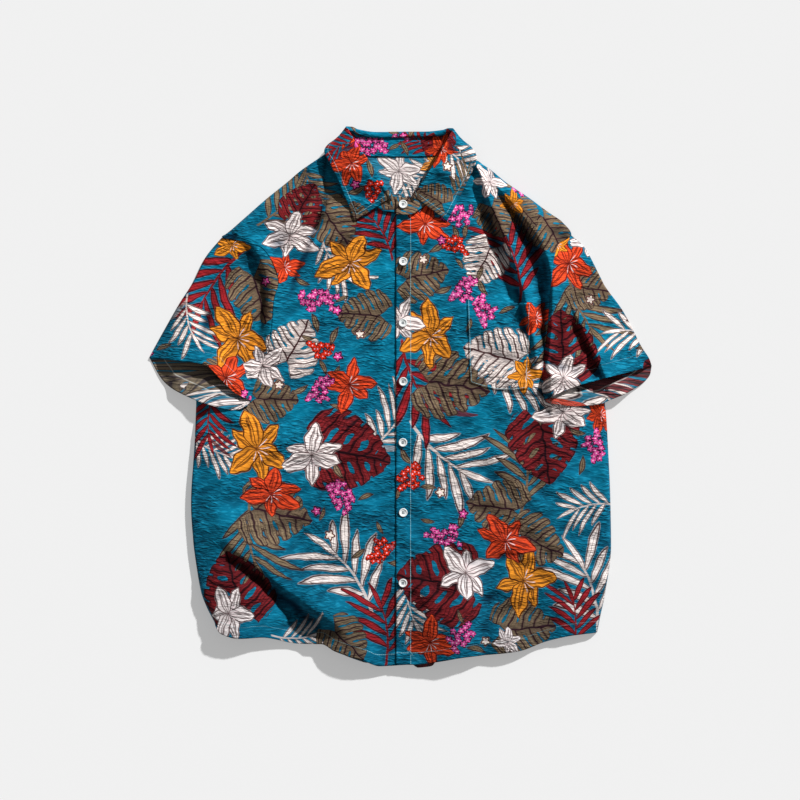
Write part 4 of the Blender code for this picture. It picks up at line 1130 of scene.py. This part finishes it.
# %% Motifs on the sleeves, collar and back
# On a sleeve, x goes on past the folded outer edge, so rows past 0.341 m lie on the lower layer.
RIGHT_SLEEVE_PRINT = {
    "lily": (
        (-221, 81, 55, 49, YELLOW), (-235, 27, 20, 37, RED), (-188, 40, 100, 33, WHITE),
        (-229, 207, 40, 27, YELLOW), (-395, 90, 30, 46, RED), (-450, 10, 80, 44, WHITE),
    ),
    "monstera": (
        (-195, 146, -75, 52, OLIVE), (-146, 71, 62, 46, CREAM), (-252, 31, 200, 30, OLIVE),
        (-430, 70, 120, 58, MAROON), (-370, 30, -60, 44, OLIVE),
    ),
    "frond": (
        (-254, 150, -122, 54, CRIMSON), (-285, 102, -75, 33, CREAM), (-157, 265, 48, 41, OLIVE),
        (-201, 244, 60, 30, CREAM), (-380, 150, 100, 54, CREAM), (-400, 0, -70, 46, CREAM),
    ),
    "cluster": (
        (-207, -3, 22, PINK), (-183, 157, 8, PINK), (-350, 70, 28, PINK), (-425, 130, 24, BERRY),
    ),
}
LEFT_SLEEVE_PRINT = {
    "lily": (
        (228, 182, 50, 41, RED), (220, 27, 20, 37, WHITE), (258, 214, 10, 30, WHITE),
        (211, 207, 80, 22, YELLOW), (420, 80, 30, 48, YELLOW), (460, 0, 80, 42, RED),
    ),
    "monstera": (
        (251, 149, -8, 41, OLIVE), (221, 62, 95, 60, MAROON), (197, 221, -60, 44, OLIVE),
        (375, 25, 150, 54, MAROON), (440, 120, 60, 46, OLIVE),
    ),
    "frond": (
        (247, 116, -62, 49, OLIVE), (320, 88, 172, 36, CREAM), (350, 110, 100, 48, CRIMSON),
        (164, 202, 200, 30, OLIVE), (400, 0, -70, 46, CREAM),
    ),
    "cluster": ((258, 133, 8, PETAL), (360, 70, 27, BERRY), (410, 140, 26, PINK)),
}
COLLAR_PRINT = {
    "lily": ((-67, 317, 10, 34, RED), (54, 336, 60, 26, RED)),
    "monstera": ((-60, 243, 100, 26, OLIVE), (47, 268, 150, 30, OLIVE), (2, 262, 40, 34, OLIVE),
                 (50, 344, -100, 30, MAROON)),
    "frond": ((82, 322, -35, 34, CREAM), (84, 292, 60, 22, OLIVE), (-75, 340, 200, 26, CRIMSON),
              (26, 346, 150, 24, CRIMSON)),
    "cluster": ((-38, 340, 29, PINK), (-35, 281, 23, BERRY), (-61, 288, 8, PINK), (4, 357, 16, PINK),
                (63, 312, 8, PETAL)),
}
BACK_PRINT = {
    "lily": ((-2, 308, 78, 34, WHITE), (48, 318, 10, 22, YELLOW)),
    "monstera": ((10, 215, 90, 60, MAROON), (-90, 120, 30, 60, OLIVE), (120, 90, -60, 62, OLIVE)),
    "frond": ((34, 300, 205, 30, CREAM), (12, 262, 60, 30, CREAM), (-180, 60, 200, 60, CREAM)),
    "cluster": ((-60, 200, 30, PINK), (90, 230, 28, BERRY)),
}


def shifted(table, right, up):
    """The same motifs moved along the cloth."""
    return {
        kind: tuple((x + right, y + up, *rest) for x, y, *rest in rows)
        for kind, rows in table.items()
    }


def joined(*tables):
    """All motifs of several tables in one."""
    return {kind: sum((tuple(table[kind]) for table in tables), ()) for kind in tables[0]}


BACK_PRINT = joined(BACK_PRINT, shifted(RIGHT_PRINT, 30, -70), shifted(LEFT_PRINT, -20, -100))
SHOULDER_PRINT = {
    "lily": ((121, 292, 60, 26, WHITE), (152, 262, 20, 20, YELLOW)),
    "monstera": ((128, 246, -66, 34, OLIVE), (168, 250, -50, 26, OLIVE)),
    "frond": ((-168, 262, 35, 30, OLIVE),),
    "cluster": ((163, 280, 15, PINK),),
}
LEFT_FRONT_PRINT = joined(LEFT_PRINT, SHOULDER_PRINT)
print("motifs on the left front:", sum(len(rows) for rows in LEFT_FRONT_PRINT.values()))

# %% Planting the motifs on a sheet
LAYERS = {"frond": 3, "monstera": 2, "leaf": 1, "lily": 2, "cluster": 1}  # from below to above
REACH = {"lily": 1.2, "monstera": 1.25, "frond": 1.7, "leaf": 1.1, "cluster": 1.3}
GROWN = {"lily": 0.93, "monstera": 0.95, "cluster": 0.88, "frond": 0.97}
OUTSIDE, LEAF_SIZE, CENTIMETRE = (9.0, 9.0, 0.0), 10.0, 10.0
LEAFY_RADIUS, LEAVES, LAYER_CLEAR = 12, 3, 0.8
GOLDEN = 0.618  # seeds that step by this share are spread evenly
WHOLE_LEAF, CUT_LEAF = (0.0, 0.45), (0.52, 0.45)  # seeds of whole and of cut cheese-plant leaves


def leaves_round(clusters):
    """Small pointed leaves that stick out from behind each cluster."""
    rows = []
    for number, (x, y, radius, tint) in enumerate(clusters):
        for k in range(LEAVES if radius > LEAFY_RADIUS else 0):
            turn = 47 * number + 131 * k
            out = 0.95 * radius + 3
            rows.append((
                x + out * math.cos(math.radians(turn)), y + out * math.sin(math.radians(turn)),
                turn + 25, LEAF_SIZE + 2 * ((number + k) % 3), OLIVE,
            ))
    return tuple(rows)


def layered(rows, count, clear):
    """Sorts motifs into layers so that those that overlap lie in different ones if they can."""
    layers = [[] for _ in range(count)]
    for number, (x, y, turn, size, tint) in enumerate(rows):
        room = [
            min((math.hypot(x - u, y - v) / (size + s) for u, v, _, s, *_ in layer), default=9.0)
            for layer in layers
        ]
        best = next((k for k, space in enumerate(room) if space > clear), room.index(max(room)))
        layers[best].append((x, y, turn, size, tint, (0.37 + GOLDEN * number) % 1.0))
    return layers


def plant(piece, table):
    """Writes each motif's own coordinates, tint and seed to the corners of the faces."""
    mesh = piece.data
    uv = np.empty(2 * len(mesh.loops))
    mesh.uv_layers[0].data.foreach_get("uv", uv)
    uv = 1000.0 * uv.reshape(-1, 4, 2)
    middle = uv.mean(axis=1)
    table = {**table, "leaf": leaves_round(table["cluster"])}
    for kind, count in LAYERS.items():
        rows = table[kind]
        if kind == "cluster":
            rows = tuple((x, y, 57.0 * k, radius, tint) for k, (x, y, radius, tint) in enumerate(rows))
        for letter, layer in zip("abc", layered(rows, count, LAYER_CLEAR * REACH[kind])):
            held = np.empty((*uv.shape[:2], 3))
            held[:] = OUTSIDE
            nearest = np.full(len(uv), REACH[kind])
            for x, y, turn, size, tint, seed in layer:
                away = np.hypot(middle[:, 0] - x, middle[:, 1] - y) / size
                here = away < nearest
                nearest[here] = away[here]
                size = size * GROWN.get(kind, 1.0)
                cos, sin = math.cos(math.radians(turn)), math.sin(math.radians(turn))
                if kind == "monstera":
                    start, span = WHOLE_LEAF if tint == MAROON else CUT_LEAF
                    seed = span * seed + start
                unit, code = size, 0.05 + 0.9 * seed
                if kind == "cluster":
                    unit, code = CENTIMETRE, size / 100.0
                u, v = (uv[here, :, 0] - x) / unit, (uv[here, :, 1] - y) / unit
                held[here, :, 0] = u * cos + v * sin
                held[here, :, 1] = v * cos - u * sin
                held[here, :, 2] = tint + code
            stored = mesh.attributes.new(f"{kind}_{letter}", "FLOAT_VECTOR", "CORNER")
            stored.data.foreach_set("vector", held.ravel())


for piece, table in (
    (front_right, RIGHT_PRINT), (front_left, LEFT_FRONT_PRINT), (pocket, LEFT_PRINT),
    (back, BACK_PRINT), (sleeve_right, RIGHT_SLEEVE_PRINT), (sleeve_left, LEFT_SLEEVE_PRINT),
    (collar_leaf, COLLAR_PRINT), (collar_stand, COLLAR_PRINT),
):
    plant(piece, table)
    print("planted the print on", piece.name)

# %% [markdown]
# ## The print: how each motif is drawn
#
# Each drawing gets its motif's own x and y, with the middle at 0 and the tip near x = 1,
# and answers with three masks: the body, the ink on it and its pale heart, if it has one.
# The seed makes each copy a little different. A lily is two sets of three petals, folded
# out of the angle round its middle. A cheese-plant leaf is an outline that is cut by slits
# along its veins. A frond has narrow blades on both sides of a stem, and its lanes say
# which blade a spot belongs to. Clusters use the cells of a Voronoi node, one blossom in each.


# %% Lily
THIRD = math.tau / 3


def petals(x, y, seed, turn, long, wide):
    """Three petals a third of a turn apart: place along one, across it, and its half width."""
    place = y.angle(x) * (1 / THIRD) + turn
    number = place.floor()
    aside = (place - number - 0.5) * THIRD
    reach = (x * x + y * y).sqrt()
    length = long + 0.12 * (number * THIRD + seed * 19 + turn * 5).sin()
    out = reach * aside.cos() / length
    bend = 0.26 * (number * THIRD + seed * 31 + turn * 3).cos()
    across = reach * aside.sin() - bend * out * out
    half = wide * out.power(0.60) * (1.0 - out).power(0.74)
    wave = 0.020 * (out * 15 + seed * 9 + number * 2).sin()
    return out, across, half + wave - 0.02


def petal_marks(out, across, half):
    """Body and ink of one set of petals: outline, middle line and ribs."""
    inside = across.abs() - half
    body = inside.below(0.0, 0.012) * out.below(1.0, 0.01)
    rim = (inside + 0.016).abs().below(0.024, 0.012)
    share = across / half.most(0.03)
    ribs = (share * 9 + out * 2).cos().below(0.6 * out - 0.84, 0.16) * out.below(0.82, 0.1) * 0.75
    middle = across.abs().below(0.012, 0.010) * out.below(0.85, 0.05)
    return body, rim.most(ribs).most(middle).most(out.below(0.18, 0.28) * 0.50)


def lily(x, y, seed):
    """Three petals below, three above, and stamens on one side."""
    low, low_ink = petal_marks(*petals(x, y, seed, 0.5, 0.94, 0.61))
    top, top_ink = petal_marks(*petals(x, y, seed, 0.0, 1.04, 0.77))
    reach = (x * x + y * y).sqrt()
    heart = reach.below(0.09, 0.10) * 0.9
    rays = 0.0 - (y.angle(x) * 10).cos()
    stamens = rays.below(-0.84, 0.14) * (y - 0.2 * x).below(0.0, 0.01) * reach.below(0.34, 0.04)
    ink = (low_ink * low * (1 - top)).most(top_ink * top).most(heart)
    return low.most(top), ink, stamens * (1 - reach.below(0.08, 0.02))


# %% Cheese-plant leaf
def monstera(x, y, seed):
    """Deeply cut, or nearly whole with long holes when the seed is below 0.49."""
    side = y.abs()
    t = (x + 0.80) / 1.80
    half = 1.84 * t.power(0.42) * (1.0 - t).power(0.80)
    share = side / (half + 0.001)
    vein = (x - 0.42 * side - 0.25 * side * side) * 2.8 + 0.35 + 0.25 * y.sign() + 0.3 * seed
    lane = vein.frac() - 0.5
    from_lobe = 0.5 - lane.abs()
    whole = seed.below(0.49, 0.01)
    lobe = side - half + (0.42 - 0.34 * whole) * from_lobe.power(2.0) * share
    slit = ((share - 0.42) * 0.17 + 0.020 - lane.abs()).least((share - 0.42 - 0.38 * whole) * 2.0)
    hole = 0.45 + 0.40 * whole - (share - 0.36) * (share - 0.36) * 22 - lane * lane * (34 - 6 * whole)
    past_middle = (vein - 0.2).abs() - 1.6 - 0.6 * whole
    notch = 0.0 - side - (x + 0.36) * 0.8
    edge = lobe.most(0.45 * slit).most((0.22 * hole).least(0.0 - past_middle)).most(notch)
    body = edge.below(0.0, 0.012) * x.below(1.0, 0.01)
    rim = 1 - (edge + 0.028).below(0.0, 0.012)
    ribs = from_lobe.below(0.092 - 0.03 * share, 0.030) * 0.95
    fine = (vein * 26.0).sin().below(-0.50, 0.35) * 0.55
    middle = side.below(0.030, 0.012).most(side.below(0.12, 0.22) * 0.72)
    return body, rim.most(ribs).most(middle).most(fine) * body, None


# %% Palm frond: blades that start along a stem and sweep forward
BLADES = 2.9  # per unit of the stem's length


def frond(x, y, seed):
    """Blades on both sides of a bent stem, and one at its end."""
    bent = y - 0.16 * x * x + 0.06
    side, hand = bent.abs(), bent.sign()
    foot = x - side * (1.12 + 0.22 * x) + 0.42 * side * side
    place = foot * BLADES + 0.25 * hand + 0.5 * seed
    number = place.floor()
    lane = place - number - 0.5
    start = (number + 0.5 - 0.25 * hand - 0.5 * seed) * (1 / BLADES)
    shorter = 0.34 * (start + 0.20) * (start + 0.20)
    length = 0.98 - shorter + 0.17 * (number * 2.7 + hand * 1.3 + seed * 40).sin()
    out = side / length
    lane = lane + 0.16 * (number * 5.1 + hand * 2.2 + seed * 31).sin() * out
    half = 0.98 * out.power(0.62) * (1.0 - out).power(0.92) + 0.012
    inside = ((lane.abs() - half) * 0.24).most((start + 0.12).abs() * 3.0 - 2.45)
    blades = inside.below(0.0, 0.010) * out.below(1.0, 0.01)
    last = x - 0.42
    last_inside = side - 0.26 * last.power(0.75) * (1.0 - last).power(0.9)
    last_blade = last_inside.below(0.0, 0.010) * (last - 0.5).abs().below(0.5, 0.01)
    stem = side.below(0.026 - 0.012 * x, 0.008) * (x + 0.25).abs().below(0.95, 0.03)
    lines = (inside + 0.011).abs().below(0.016, 0.009).most(lane.abs().below(0.026, 0.03) * 0.65)
    lines = lines.most((lane.abs() - 0.5 * half).abs().below(0.026, 0.04) * out.below(0.62, 0.2) * 0.40)
    lines = lines.most((1 - out).below(0.16, 0.2) * 0.5).most(out.below(0.05, 0.22) * 0.40)
    last_lines = (last_inside + 0.010).abs().below(0.014, 0.009).most(side.below(0.006, 0.008) * 0.5)
    ink = (lines * blades * (1 - last_blade)).most(last_lines * last_blade)
    return blades.most(stem).most(last_blade), (ink * (1 - stem)).most(stem * 0.4), None


# %% Small leaf, and clusters of blossoms or berries
def leaf_drawn(x, y, seed):
    """A small bent leaf with two pointed ends. All are alike, so the seed isn't used."""
    arch = 1.0 - x * x
    from_middle = (y - 0.12 * arch).abs()
    inside = from_middle - 0.30 * arch
    body = inside.below(0.0, 0.03) * x.abs().below(1.0, 0.01)
    ink = (inside + 0.05).abs().below(0.05, 0.03).most(from_middle.below(0.03, 0.02))
    return body, ink * body, None


BLOSSOMS = 1.26  # per centimetre
FAR = 60.0  # keeps the cells clear of the place where their numbers change sign


def cluster(x, y, radius):
    """x, y and radius in centimetres. A radius under one centimetre is a single blossom."""
    finish = x.finish
    single = radius.below(1.0, 0.01)
    values = {0: x * BLOSSOMS + FAR, 1: y * BLOSSOMS + FAR}
    spot = finish.node("ShaderNodeCombineXYZ", {}, values)
    settings = {"voronoi_dimensions": "2D", "feature": "F1"}
    values = {"Vector": spot, "Scale": 1.0, "Randomness": 0.72}
    cell = finish.node("ShaderNodeTexVoronoi", settings, values, out=2)
    many = 1 - single
    cell_x, cell_y = [(part - FAR) * (1 / BLOSSOMS) * many for part in finish.split(cell)[:2]]
    dx, dy = x - cell_x, y - cell_y
    reach = (dx * dx + dy * dy).sqrt() * (1 - 0.16 * single)
    from_middle = (0.72 * cell_x * cell_x + 2.1 * cell_y * cell_y).sqrt()
    ragged = 0.38 * (cell_x * 4.1 + cell_y * 2.3 + radius * 9).sin() + 0.34
    among = (from_middle + ragged - 0.90 * radius).below(0.0, 0.01).most(single)
    petal = 0.365 + 0.105 * (dy.angle(dx) * 5 + cell_x * 3).cos()
    body = (reach - petal).below(0.175, 0.03) * among
    rim = 1 - (reach - petal).below(-0.015, 0.03)
    heart = reach.below(0.085, 0.03)
    return body, rim * body, heart


DRAWINGS = {"frond": frond, "monstera": monstera, "leaf": leaf_drawn, "lily": lily, "cluster": cluster}
print("motif drawings:", ", ".join(DRAWINGS))

# %% [markdown]
# ## The cloth's finish
#
# Light crinkled cotton, printed on one side. The layers of the print are laid over the
# teal ground one by one. The weave and the finest crinkles are too small for the mesh, so
# they are bump. Stitches are dashes along the lines that were stored with each net, in
# pale thread. The inner side has the same print, a little paler, and overlocked seams.

# %% Cloth finish
# The lightest teal is a painted highlight on the crinkle's crests.
DEEP_TEAL, FRESH_TEAL, CREST_HIGHLIGHT_TEAL = tone(0, 90, 120), tone(0, 123, 155), tone(34, 156, 190)
# The valley tones are painted shade in the crinkle's valleys. The hollow and hem tones are painted shade
# too.
VALLEY_SHADE_TEAL, VALLEY_SHADE_DARK, HOLLOW_SHADE = tone(0, 42, 62), tone(10, 20, 30), tone(112, 122, 136)
THREAD, OVERLOCK, WRONG_SIDE = tone(150, 204, 214), tone(196, 198, 192), tone(150, 172, 176)
HEM_SHADE = tone(208, 212, 216)

# For each kind of motif: how far its lines stray, how much ink flecks it, and its heart.
SWAY = {"frond": 0.06, "monstera": 0.12, "leaf": 0.25, "lily": 0.12, "cluster": 0.15}
FLECKED = {"frond": 0.12, "monstera": 0.40, "leaf": 0.35, "lily": 0.14, "cluster": 0.0}
HEARTS = {"lily": tone(240, 214, 214), "cluster": tone(252, 208, 226)}

printed = Finish("printed_cotton", Specular_IOR_Level=0.06, Sheen_Weight=0.02, Sheen_Roughness=0.5)
cloth_place = printed.node("ShaderNodeUVMap", {"uv_map": "UVMap"}, {})


def streaks(wide, tall, detail, turn=0.0, swirl=0.0):
    """Noise on the cloth with cells of wide by tall metres."""
    values = {0: cloth_place, 2: (0.0, 0.0, turn), 3: (wide, tall, 1.0)}
    placed = printed.node("ShaderNodeMapping", {"vector_type": "TEXTURE"}, values)
    values = {"Vector": placed, "Scale": 1.0, "Detail": detail, "Roughness": 0.55, "Distortion": swirl}
    return printed.node("ShaderNodeTexNoise", {"noise_dimensions": "2D"}, values)


def palette(tint, column):
    """The body colour, or the ink, of a tint."""
    stops = [(k / len(TINTS), row[column]) for k, row in enumerate(TINTS)]
    return printed.node("ShaderNodeValToRGB", {"stops": stops}, {0: (tint + 0.5) * (1 / len(TINTS))})


# Slanting creases in two directions, finer ones, and patches of cloth that have more of them.
# Their crests get a painted highlight and their valleys painted shade.
rising = (streaks(0.0260, 0.0060, 1.5, 0.15, 0.5) - 0.5).abs()
falling = (streaks(0.0220, 0.0052, 1.5, -0.17, 0.5) - 0.5).abs()
finer = streaks(0.0110, 0.0027, 1.5, -0.06, 0.4)
busy = (streaks(0.060, 0.036, 1.5, 0.3) * 3.8 - 0.85).most(0.30)
weave = streaks(0.0016, 0.0009, 1.0)
flecks = streaks(0.0060, 0.0022, 3.0, 0.5).below(0.44, 0.06)
sway_x, sway_y = streaks(0.021, 0.016, 1.0) - 0.5, streaks(0.018, 0.022, 1.0, 2.0) - 0.5
crest = ((finer - 0.55) * 4.5).most((rising + falling) * 3.2 - 0.72).most(0.0).least(1.0)
# Painted shade: a mask of the crinkle's valleys, strongest in busy patches.
valley_shade = rising.below(0.02, 0.04).most(falling.below(0.02, 0.04)) * 0.6
valley_shade = (valley_shade + finer.below(0.40, 0.12) * 0.3) * busy
colour = printed.mix(streaks(0.110, 0.070, 1.0), DEEP_TEAL, FRESH_TEAL)
# Painted highlight: the crests of the crinkle are painted a lighter teal.
colour = printed.mix(crest * 0.60, colour, CREST_HIGHLIGHT_TEAL)
colour = printed.mix(valley_shade * 0.54, colour, VALLEY_SHADE_TEAL)
print("nodes for the teal ground:", len(printed.tree.nodes))

# %% The motifs over the ground
for kind, count in LAYERS.items():
    for letter in "abc"[:count]:
        x, y, code = printed.attribute(f"{kind}_{letter}")
        seed = code.frac() * 10.0 if kind == "cluster" else code.frac()
        sway = SWAY[kind]
        body, ink, heart = DRAWINGS[kind](x + sway * sway_x, y + sway * sway_y, seed)
        tint = code.floor()
        colour = printed.mix(body, colour, palette(tint, 1))
        colour = printed.mix(ink.most(flecks * body * FLECKED[kind]), colour, palette(tint, 2))
        if heart:
            colour = printed.mix(heart * body, colour, HEARTS[kind])
print("nodes with the print:", len(printed.tree.nodes))

# %% Shade in the creases and towards the hem
pale = printed.node("ShaderNodeRGBToBW", {}, {0: colour})
# Painted shade in the crinkle's valleys, over the print as well, weaker on pale colours.
colour = printed.mix(valley_shade * (0.42 - 0.42 * pale), colour, VALLEY_SHADE_DARK)
across, along, hollow = printed.attribute("thread")
colour = printed.mix(hollow, colour, HOLLOW_SHADE, "MULTIPLY")
place_x, place_y, _ = printed.split(printed.node("ShaderNodeTexCoord", {}, {}, out=3))
low = ((0.12 - place_y) * 2.1).most(0.0).power(1.5)
colour = printed.mix(low, colour, HEM_SHADE, "MULTIPLY")
print("nodes with the shade:", len(printed.tree.nodes))

# %% Stitches and the inner side
STITCH_LONG, STITCH_HALF, LOOP_LONG, LOOP_HALF = 0.0027, 0.00034, 0.0016, 0.0008

dashes = ((along * (1 / STITCH_LONG)).frac() - 0.5).abs().below(0.43, 0.05)
stitches = (across + 0.0009 * sway_x).abs().below(STITCH_HALF, 0.00014) * dashes * 0.56
# Along the hem and on the sleeves the stitches show less than beside the buttons.
at_hem = (0.05 - place_x.abs()).below(0.0, 0.01) * (place_y + 0.25).below(0.0, 0.02)
at_sleeve = (0.19 - place_x.abs()).below(0.0, 0.01)
stitches = stitches * (1 - 0.6 * at_hem.most(at_sleeve))
inner = printed.node("ShaderNodeAttribute", {"attribute_name": "inner"}, {}, out=2)
colour = printed.mix(inner * 0.07, colour, WRONG_SIDE)
colour = printed.mix(stitches * (1 - inner), colour, THREAD)
loops = ((along * (1 / LOOP_LONG)).frac() - 0.5).abs().below(0.30, 0.15) * 0.5 + 0.25
overlock = (across + 0.0020 * sway_y).abs().below(LOOP_HALF, 0.0004) * loops * 0.8
colour = printed.mix(overlock * inner, colour, OVERLOCK)
printed.feed("Base Color", colour)
print("nodes with the stitches:", len(printed.tree.nodes))

# %% Weave and fine creases as bump
CREASE_TALL, FINER_TALL, WEAVE_TALL, STITCH_TALL = 0.0026, 0.0010, 0.00016, 0.0003

printed.feed("Roughness", 0.76 + 0.16 * weave)
creases = ((rising + falling) * CREASE_TALL + finer * FINER_TALL) * (0.15 + 0.85 * busy)
relief = creases + weave * WEAVE_TALL + stitches * STITCH_TALL
values = {"Strength": 1.0, "Distance": 1.0, "Height": relief}
printed.feed("Normal", printed.node("ShaderNodeBump", {}, values))
print("nodes in all:", len(printed.tree.nodes))

# %% [markdown]
# ## Buttons
#
# Seven small shell-white buttons with four holes, a raised rim and a few turns of thread.
# One is modelled by hand from a cylinder, and copied to each place with its own mesh, and
# every copy is tilted to lie on the cloth under it.

# %% One button
BUTTON_RADIUS, BUTTON_THICK, BUTTON_RIM, BUTTON_DISH = 0.00575, 0.0026, 0.0014, 0.0010
HOLE_RADIUS, HOLE_REACH, THREAD_RADIUS = 0.00085, 0.00140, 0.00034
DISH_SLOPE, BACK_INSET, EDGE_BEVEL = 0.0004, 0.0006, 0.00035


def cylinder(name, sides, radius, depth, place, turn=(0.0, 0.0, 0.0)):
    """A new cylinder, the only thing selected."""
    bpy.ops.object.select_all(action="DESELECT")
    bpy.ops.mesh.primitive_cylinder_add(
        vertices=sides, radius=radius, depth=depth, location=place, rotation=turn,
    )
    bpy.context.object.name = name
    return bpy.context.object


def only_faces(piece, wanted):
    """In edit mode, selects only the faces that a test picks."""
    bpy.ops.object.mode_set(mode="OBJECT")
    for part in (*piece.data.vertices, *piece.data.edges, *piece.data.polygons):
        part.select = False
    for face in piece.data.polygons:
        face.select = wanted(face)
    bpy.ops.object.mode_set(mode="EDIT")
    bpy.ops.mesh.select_mode(type="FACE")


button = cylinder("button", 48, BUTTON_RADIUS, BUTTON_THICK, (0.0, 0.0, BUTTON_THICK / 2))
bpy.ops.object.mode_set(mode="EDIT")
only_faces(button, lambda face: face.normal.z > 0.9)
bpy.ops.mesh.inset(thickness=BUTTON_RIM)
bpy.ops.mesh.inset(thickness=DISH_SLOPE)
bpy.ops.transform.translate(value=(0.0, 0.0, -BUTTON_DISH))
only_faces(button, lambda face: face.normal.z < -0.9)
bpy.ops.mesh.inset(thickness=BACK_INSET)
bpy.ops.object.mode_set(mode="OBJECT")
bpy.ops.object.modifier_add(type="BEVEL")
button.modifiers[0].width, button.modifiers[0].segments = EDGE_BEVEL, 3
button.modifiers[0].angle_limit = math.radians(50)
bpy.ops.object.modifier_apply(modifier=button.modifiers[0].name)
for k in range(4):
    turn = math.pi * (k + 0.5) / 2
    place = (HOLE_REACH * math.cos(turn), HOLE_REACH * math.sin(turn), 0.0)
    drill = cylinder("drill", 20, HOLE_RADIUS, 4 * BUTTON_THICK, place)
    bpy.context.view_layer.objects.active = button
    bpy.ops.object.modifier_add(type="BOOLEAN")
    button.modifiers[0].operation, button.modifiers[0].object = "DIFFERENCE", drill
    bpy.ops.object.modifier_apply(modifier=button.modifiers[0].name)
    bpy.data.objects.remove(drill)
print("button has", len(button.data.polygons), "faces")

# %% Button and thread finishes
shell = Finish("shell_button", Coat_Weight=0.3, Coat_Roughness=0.15)
place = shell.node("ShaderNodeTexCoord", {}, {}, out=3)
cloud = shell.node("ShaderNodeTexNoise", {}, {"Vector": place, "Scale": 260.0, "Detail": 3.0})
shell.feed("Base Color", shell.mix(cloud, tone(206, 210, 210), tone(232, 234, 232)))
shell.feed("Roughness", 0.22 + 0.2 * cloud)

yarn = Finish("button_thread", Roughness=0.7, Sheen_Weight=0.2)
place = yarn.node("ShaderNodeTexCoord", {}, {}, out=3)
twist = yarn.node("ShaderNodeTexNoise", {}, {"Vector": place, "Scale": 2600.0, "Detail": 1.0})
yarn.feed("Base Color", yarn.mix(twist, tone(74, 88, 98), tone(124, 136, 142)))
button.data.materials.append(shell.material)
print("nodes of the button and its thread:", len(shell.tree.nodes), len(yarn.tree.nodes))

# %% Thread through the holes
strands = []
for side in (-1, 1):
    place = (0.0, side * HOLE_REACH / math.sqrt(2), BUTTON_THICK - BUTTON_DISH + 0.6 * THREAD_RADIUS)
    strand = cylinder("strand", 10, THREAD_RADIUS, 2.2 * HOLE_REACH, place, (0.0, math.pi / 2, 0.0))
    strand.data.materials.append(yarn.material)
    bpy.ops.object.mode_set(mode="EDIT")
    only_faces(strand, lambda face: abs(face.normal.z) > 0.9)
    bpy.ops.mesh.inset(thickness=0.4 * THREAD_RADIUS)
    bpy.ops.object.mode_set(mode="OBJECT")
    strands.append(strand)
bpy.ops.object.select_all(action="DESELECT")
for part in (*strands, button):
    part.select_set(True)
bpy.context.view_layer.objects.active = button
bpy.ops.object.join()
bpy.ops.object.transform_apply(location=True, rotation=True, scale=True)
bpy.ops.object.shade_smooth_by_angle(angle=math.radians(35))
print("button with thread has", len(button.data.polygons), "faces")

# %% Seven buttons in their places
BUTTON_X, TOP_BUTTON_Y, BUTTON_LIFT = 0.0035, 0.261, 0.0004
STEP = 0.004  # the cloth's slope is measured between spots this far from the middle
BUTTON_YS = (0.184, 0.101, 0.022, -0.061, -0.156, -0.251)


def stand_height(x, y):
    """Height of the stand's upper end, which leans up towards its top."""
    (_, near_y, near_z), (_, far_y, far_z) = ends[2]
    return near_z + (far_z - near_z) * (y - near_y) / (far_y - near_y) + 0 * x


buttons = {}
for number, y in enumerate((TOP_BUTTON_Y, *BUTTON_YS), start=1):
    height = stand_height if number == 1 else left_front_height
    spots_x = np.array((BUTTON_X + STEP, BUTTON_X - STEP, BUTTON_X, BUTTON_X, BUTTON_X))
    spots_y = np.array((y, y, y + STEP, y - STEP, y))
    east, west, north, south, middle = height(spots_x, spots_y)
    normal = Vector(((west - east) / (2 * STEP), (south - north) / (2 * STEP), 1.0)).normalized()
    lift = (COLLAR_WALL if number == 1 else CLOTH_WALL) / 2 + BUTTON_LIFT
    copy = bpy.data.objects.new(f"shirt_button_{number}", button.data.copy())
    scene.collection.objects.link(copy)
    tilt = Vector((0.0, 0.0, 1.0)).rotation_difference(normal).to_matrix().to_4x4()
    tilt.translation = Vector((BUTTON_X, y, float(max(middle, (north + south) / 2)))) + normal * lift
    copy.data.transform(tilt)
    buttons[f"button_{number}"] = copy
bpy.data.objects.remove(button)
print("buttons placed:", len(buttons))

# %% [markdown]
# ## Handing over
#
# Every piece of cloth replaces the solid of its name, rides on the shirt and takes the
# printed cotton finish. Its area is printed beside the size that it was cut to.

# %% Hand over
CUTS = {
    "back": (back, (0.57, 0.69), 0.335),
    "front_right": (front_right, (0.30, 0.70), 0.172),
    "front_left": (front_left, (0.30, 0.70), 0.168),
    "sleeve_right": (sleeve_right, (0.43, 0.20), 0.050),
    "sleeve_left": (sleeve_left, (0.43, 0.20), 0.050),
    "collar_stand": (collar_stand, (0.42, 0.032), None),
    "collar_leaf": (collar_leaf, (0.44, 0.050), None),
    "pocket": (pocket, (0.09, 0.125), None),
}
for node, (piece, flat, area) in CUTS.items():
    surface, cut = sum(face.area for face in piece.data.polygons) / 2, area or flat[0] * flat[1]
    print(piece.name, "has", round(surface, 4), "square metres, cut", round(cut, 4))
    piece.data.materials.append(printed.material)
    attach(piece, "root")
    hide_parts(node)
for node, piece in buttons.items():
    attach(piece, "root")
    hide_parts(node)
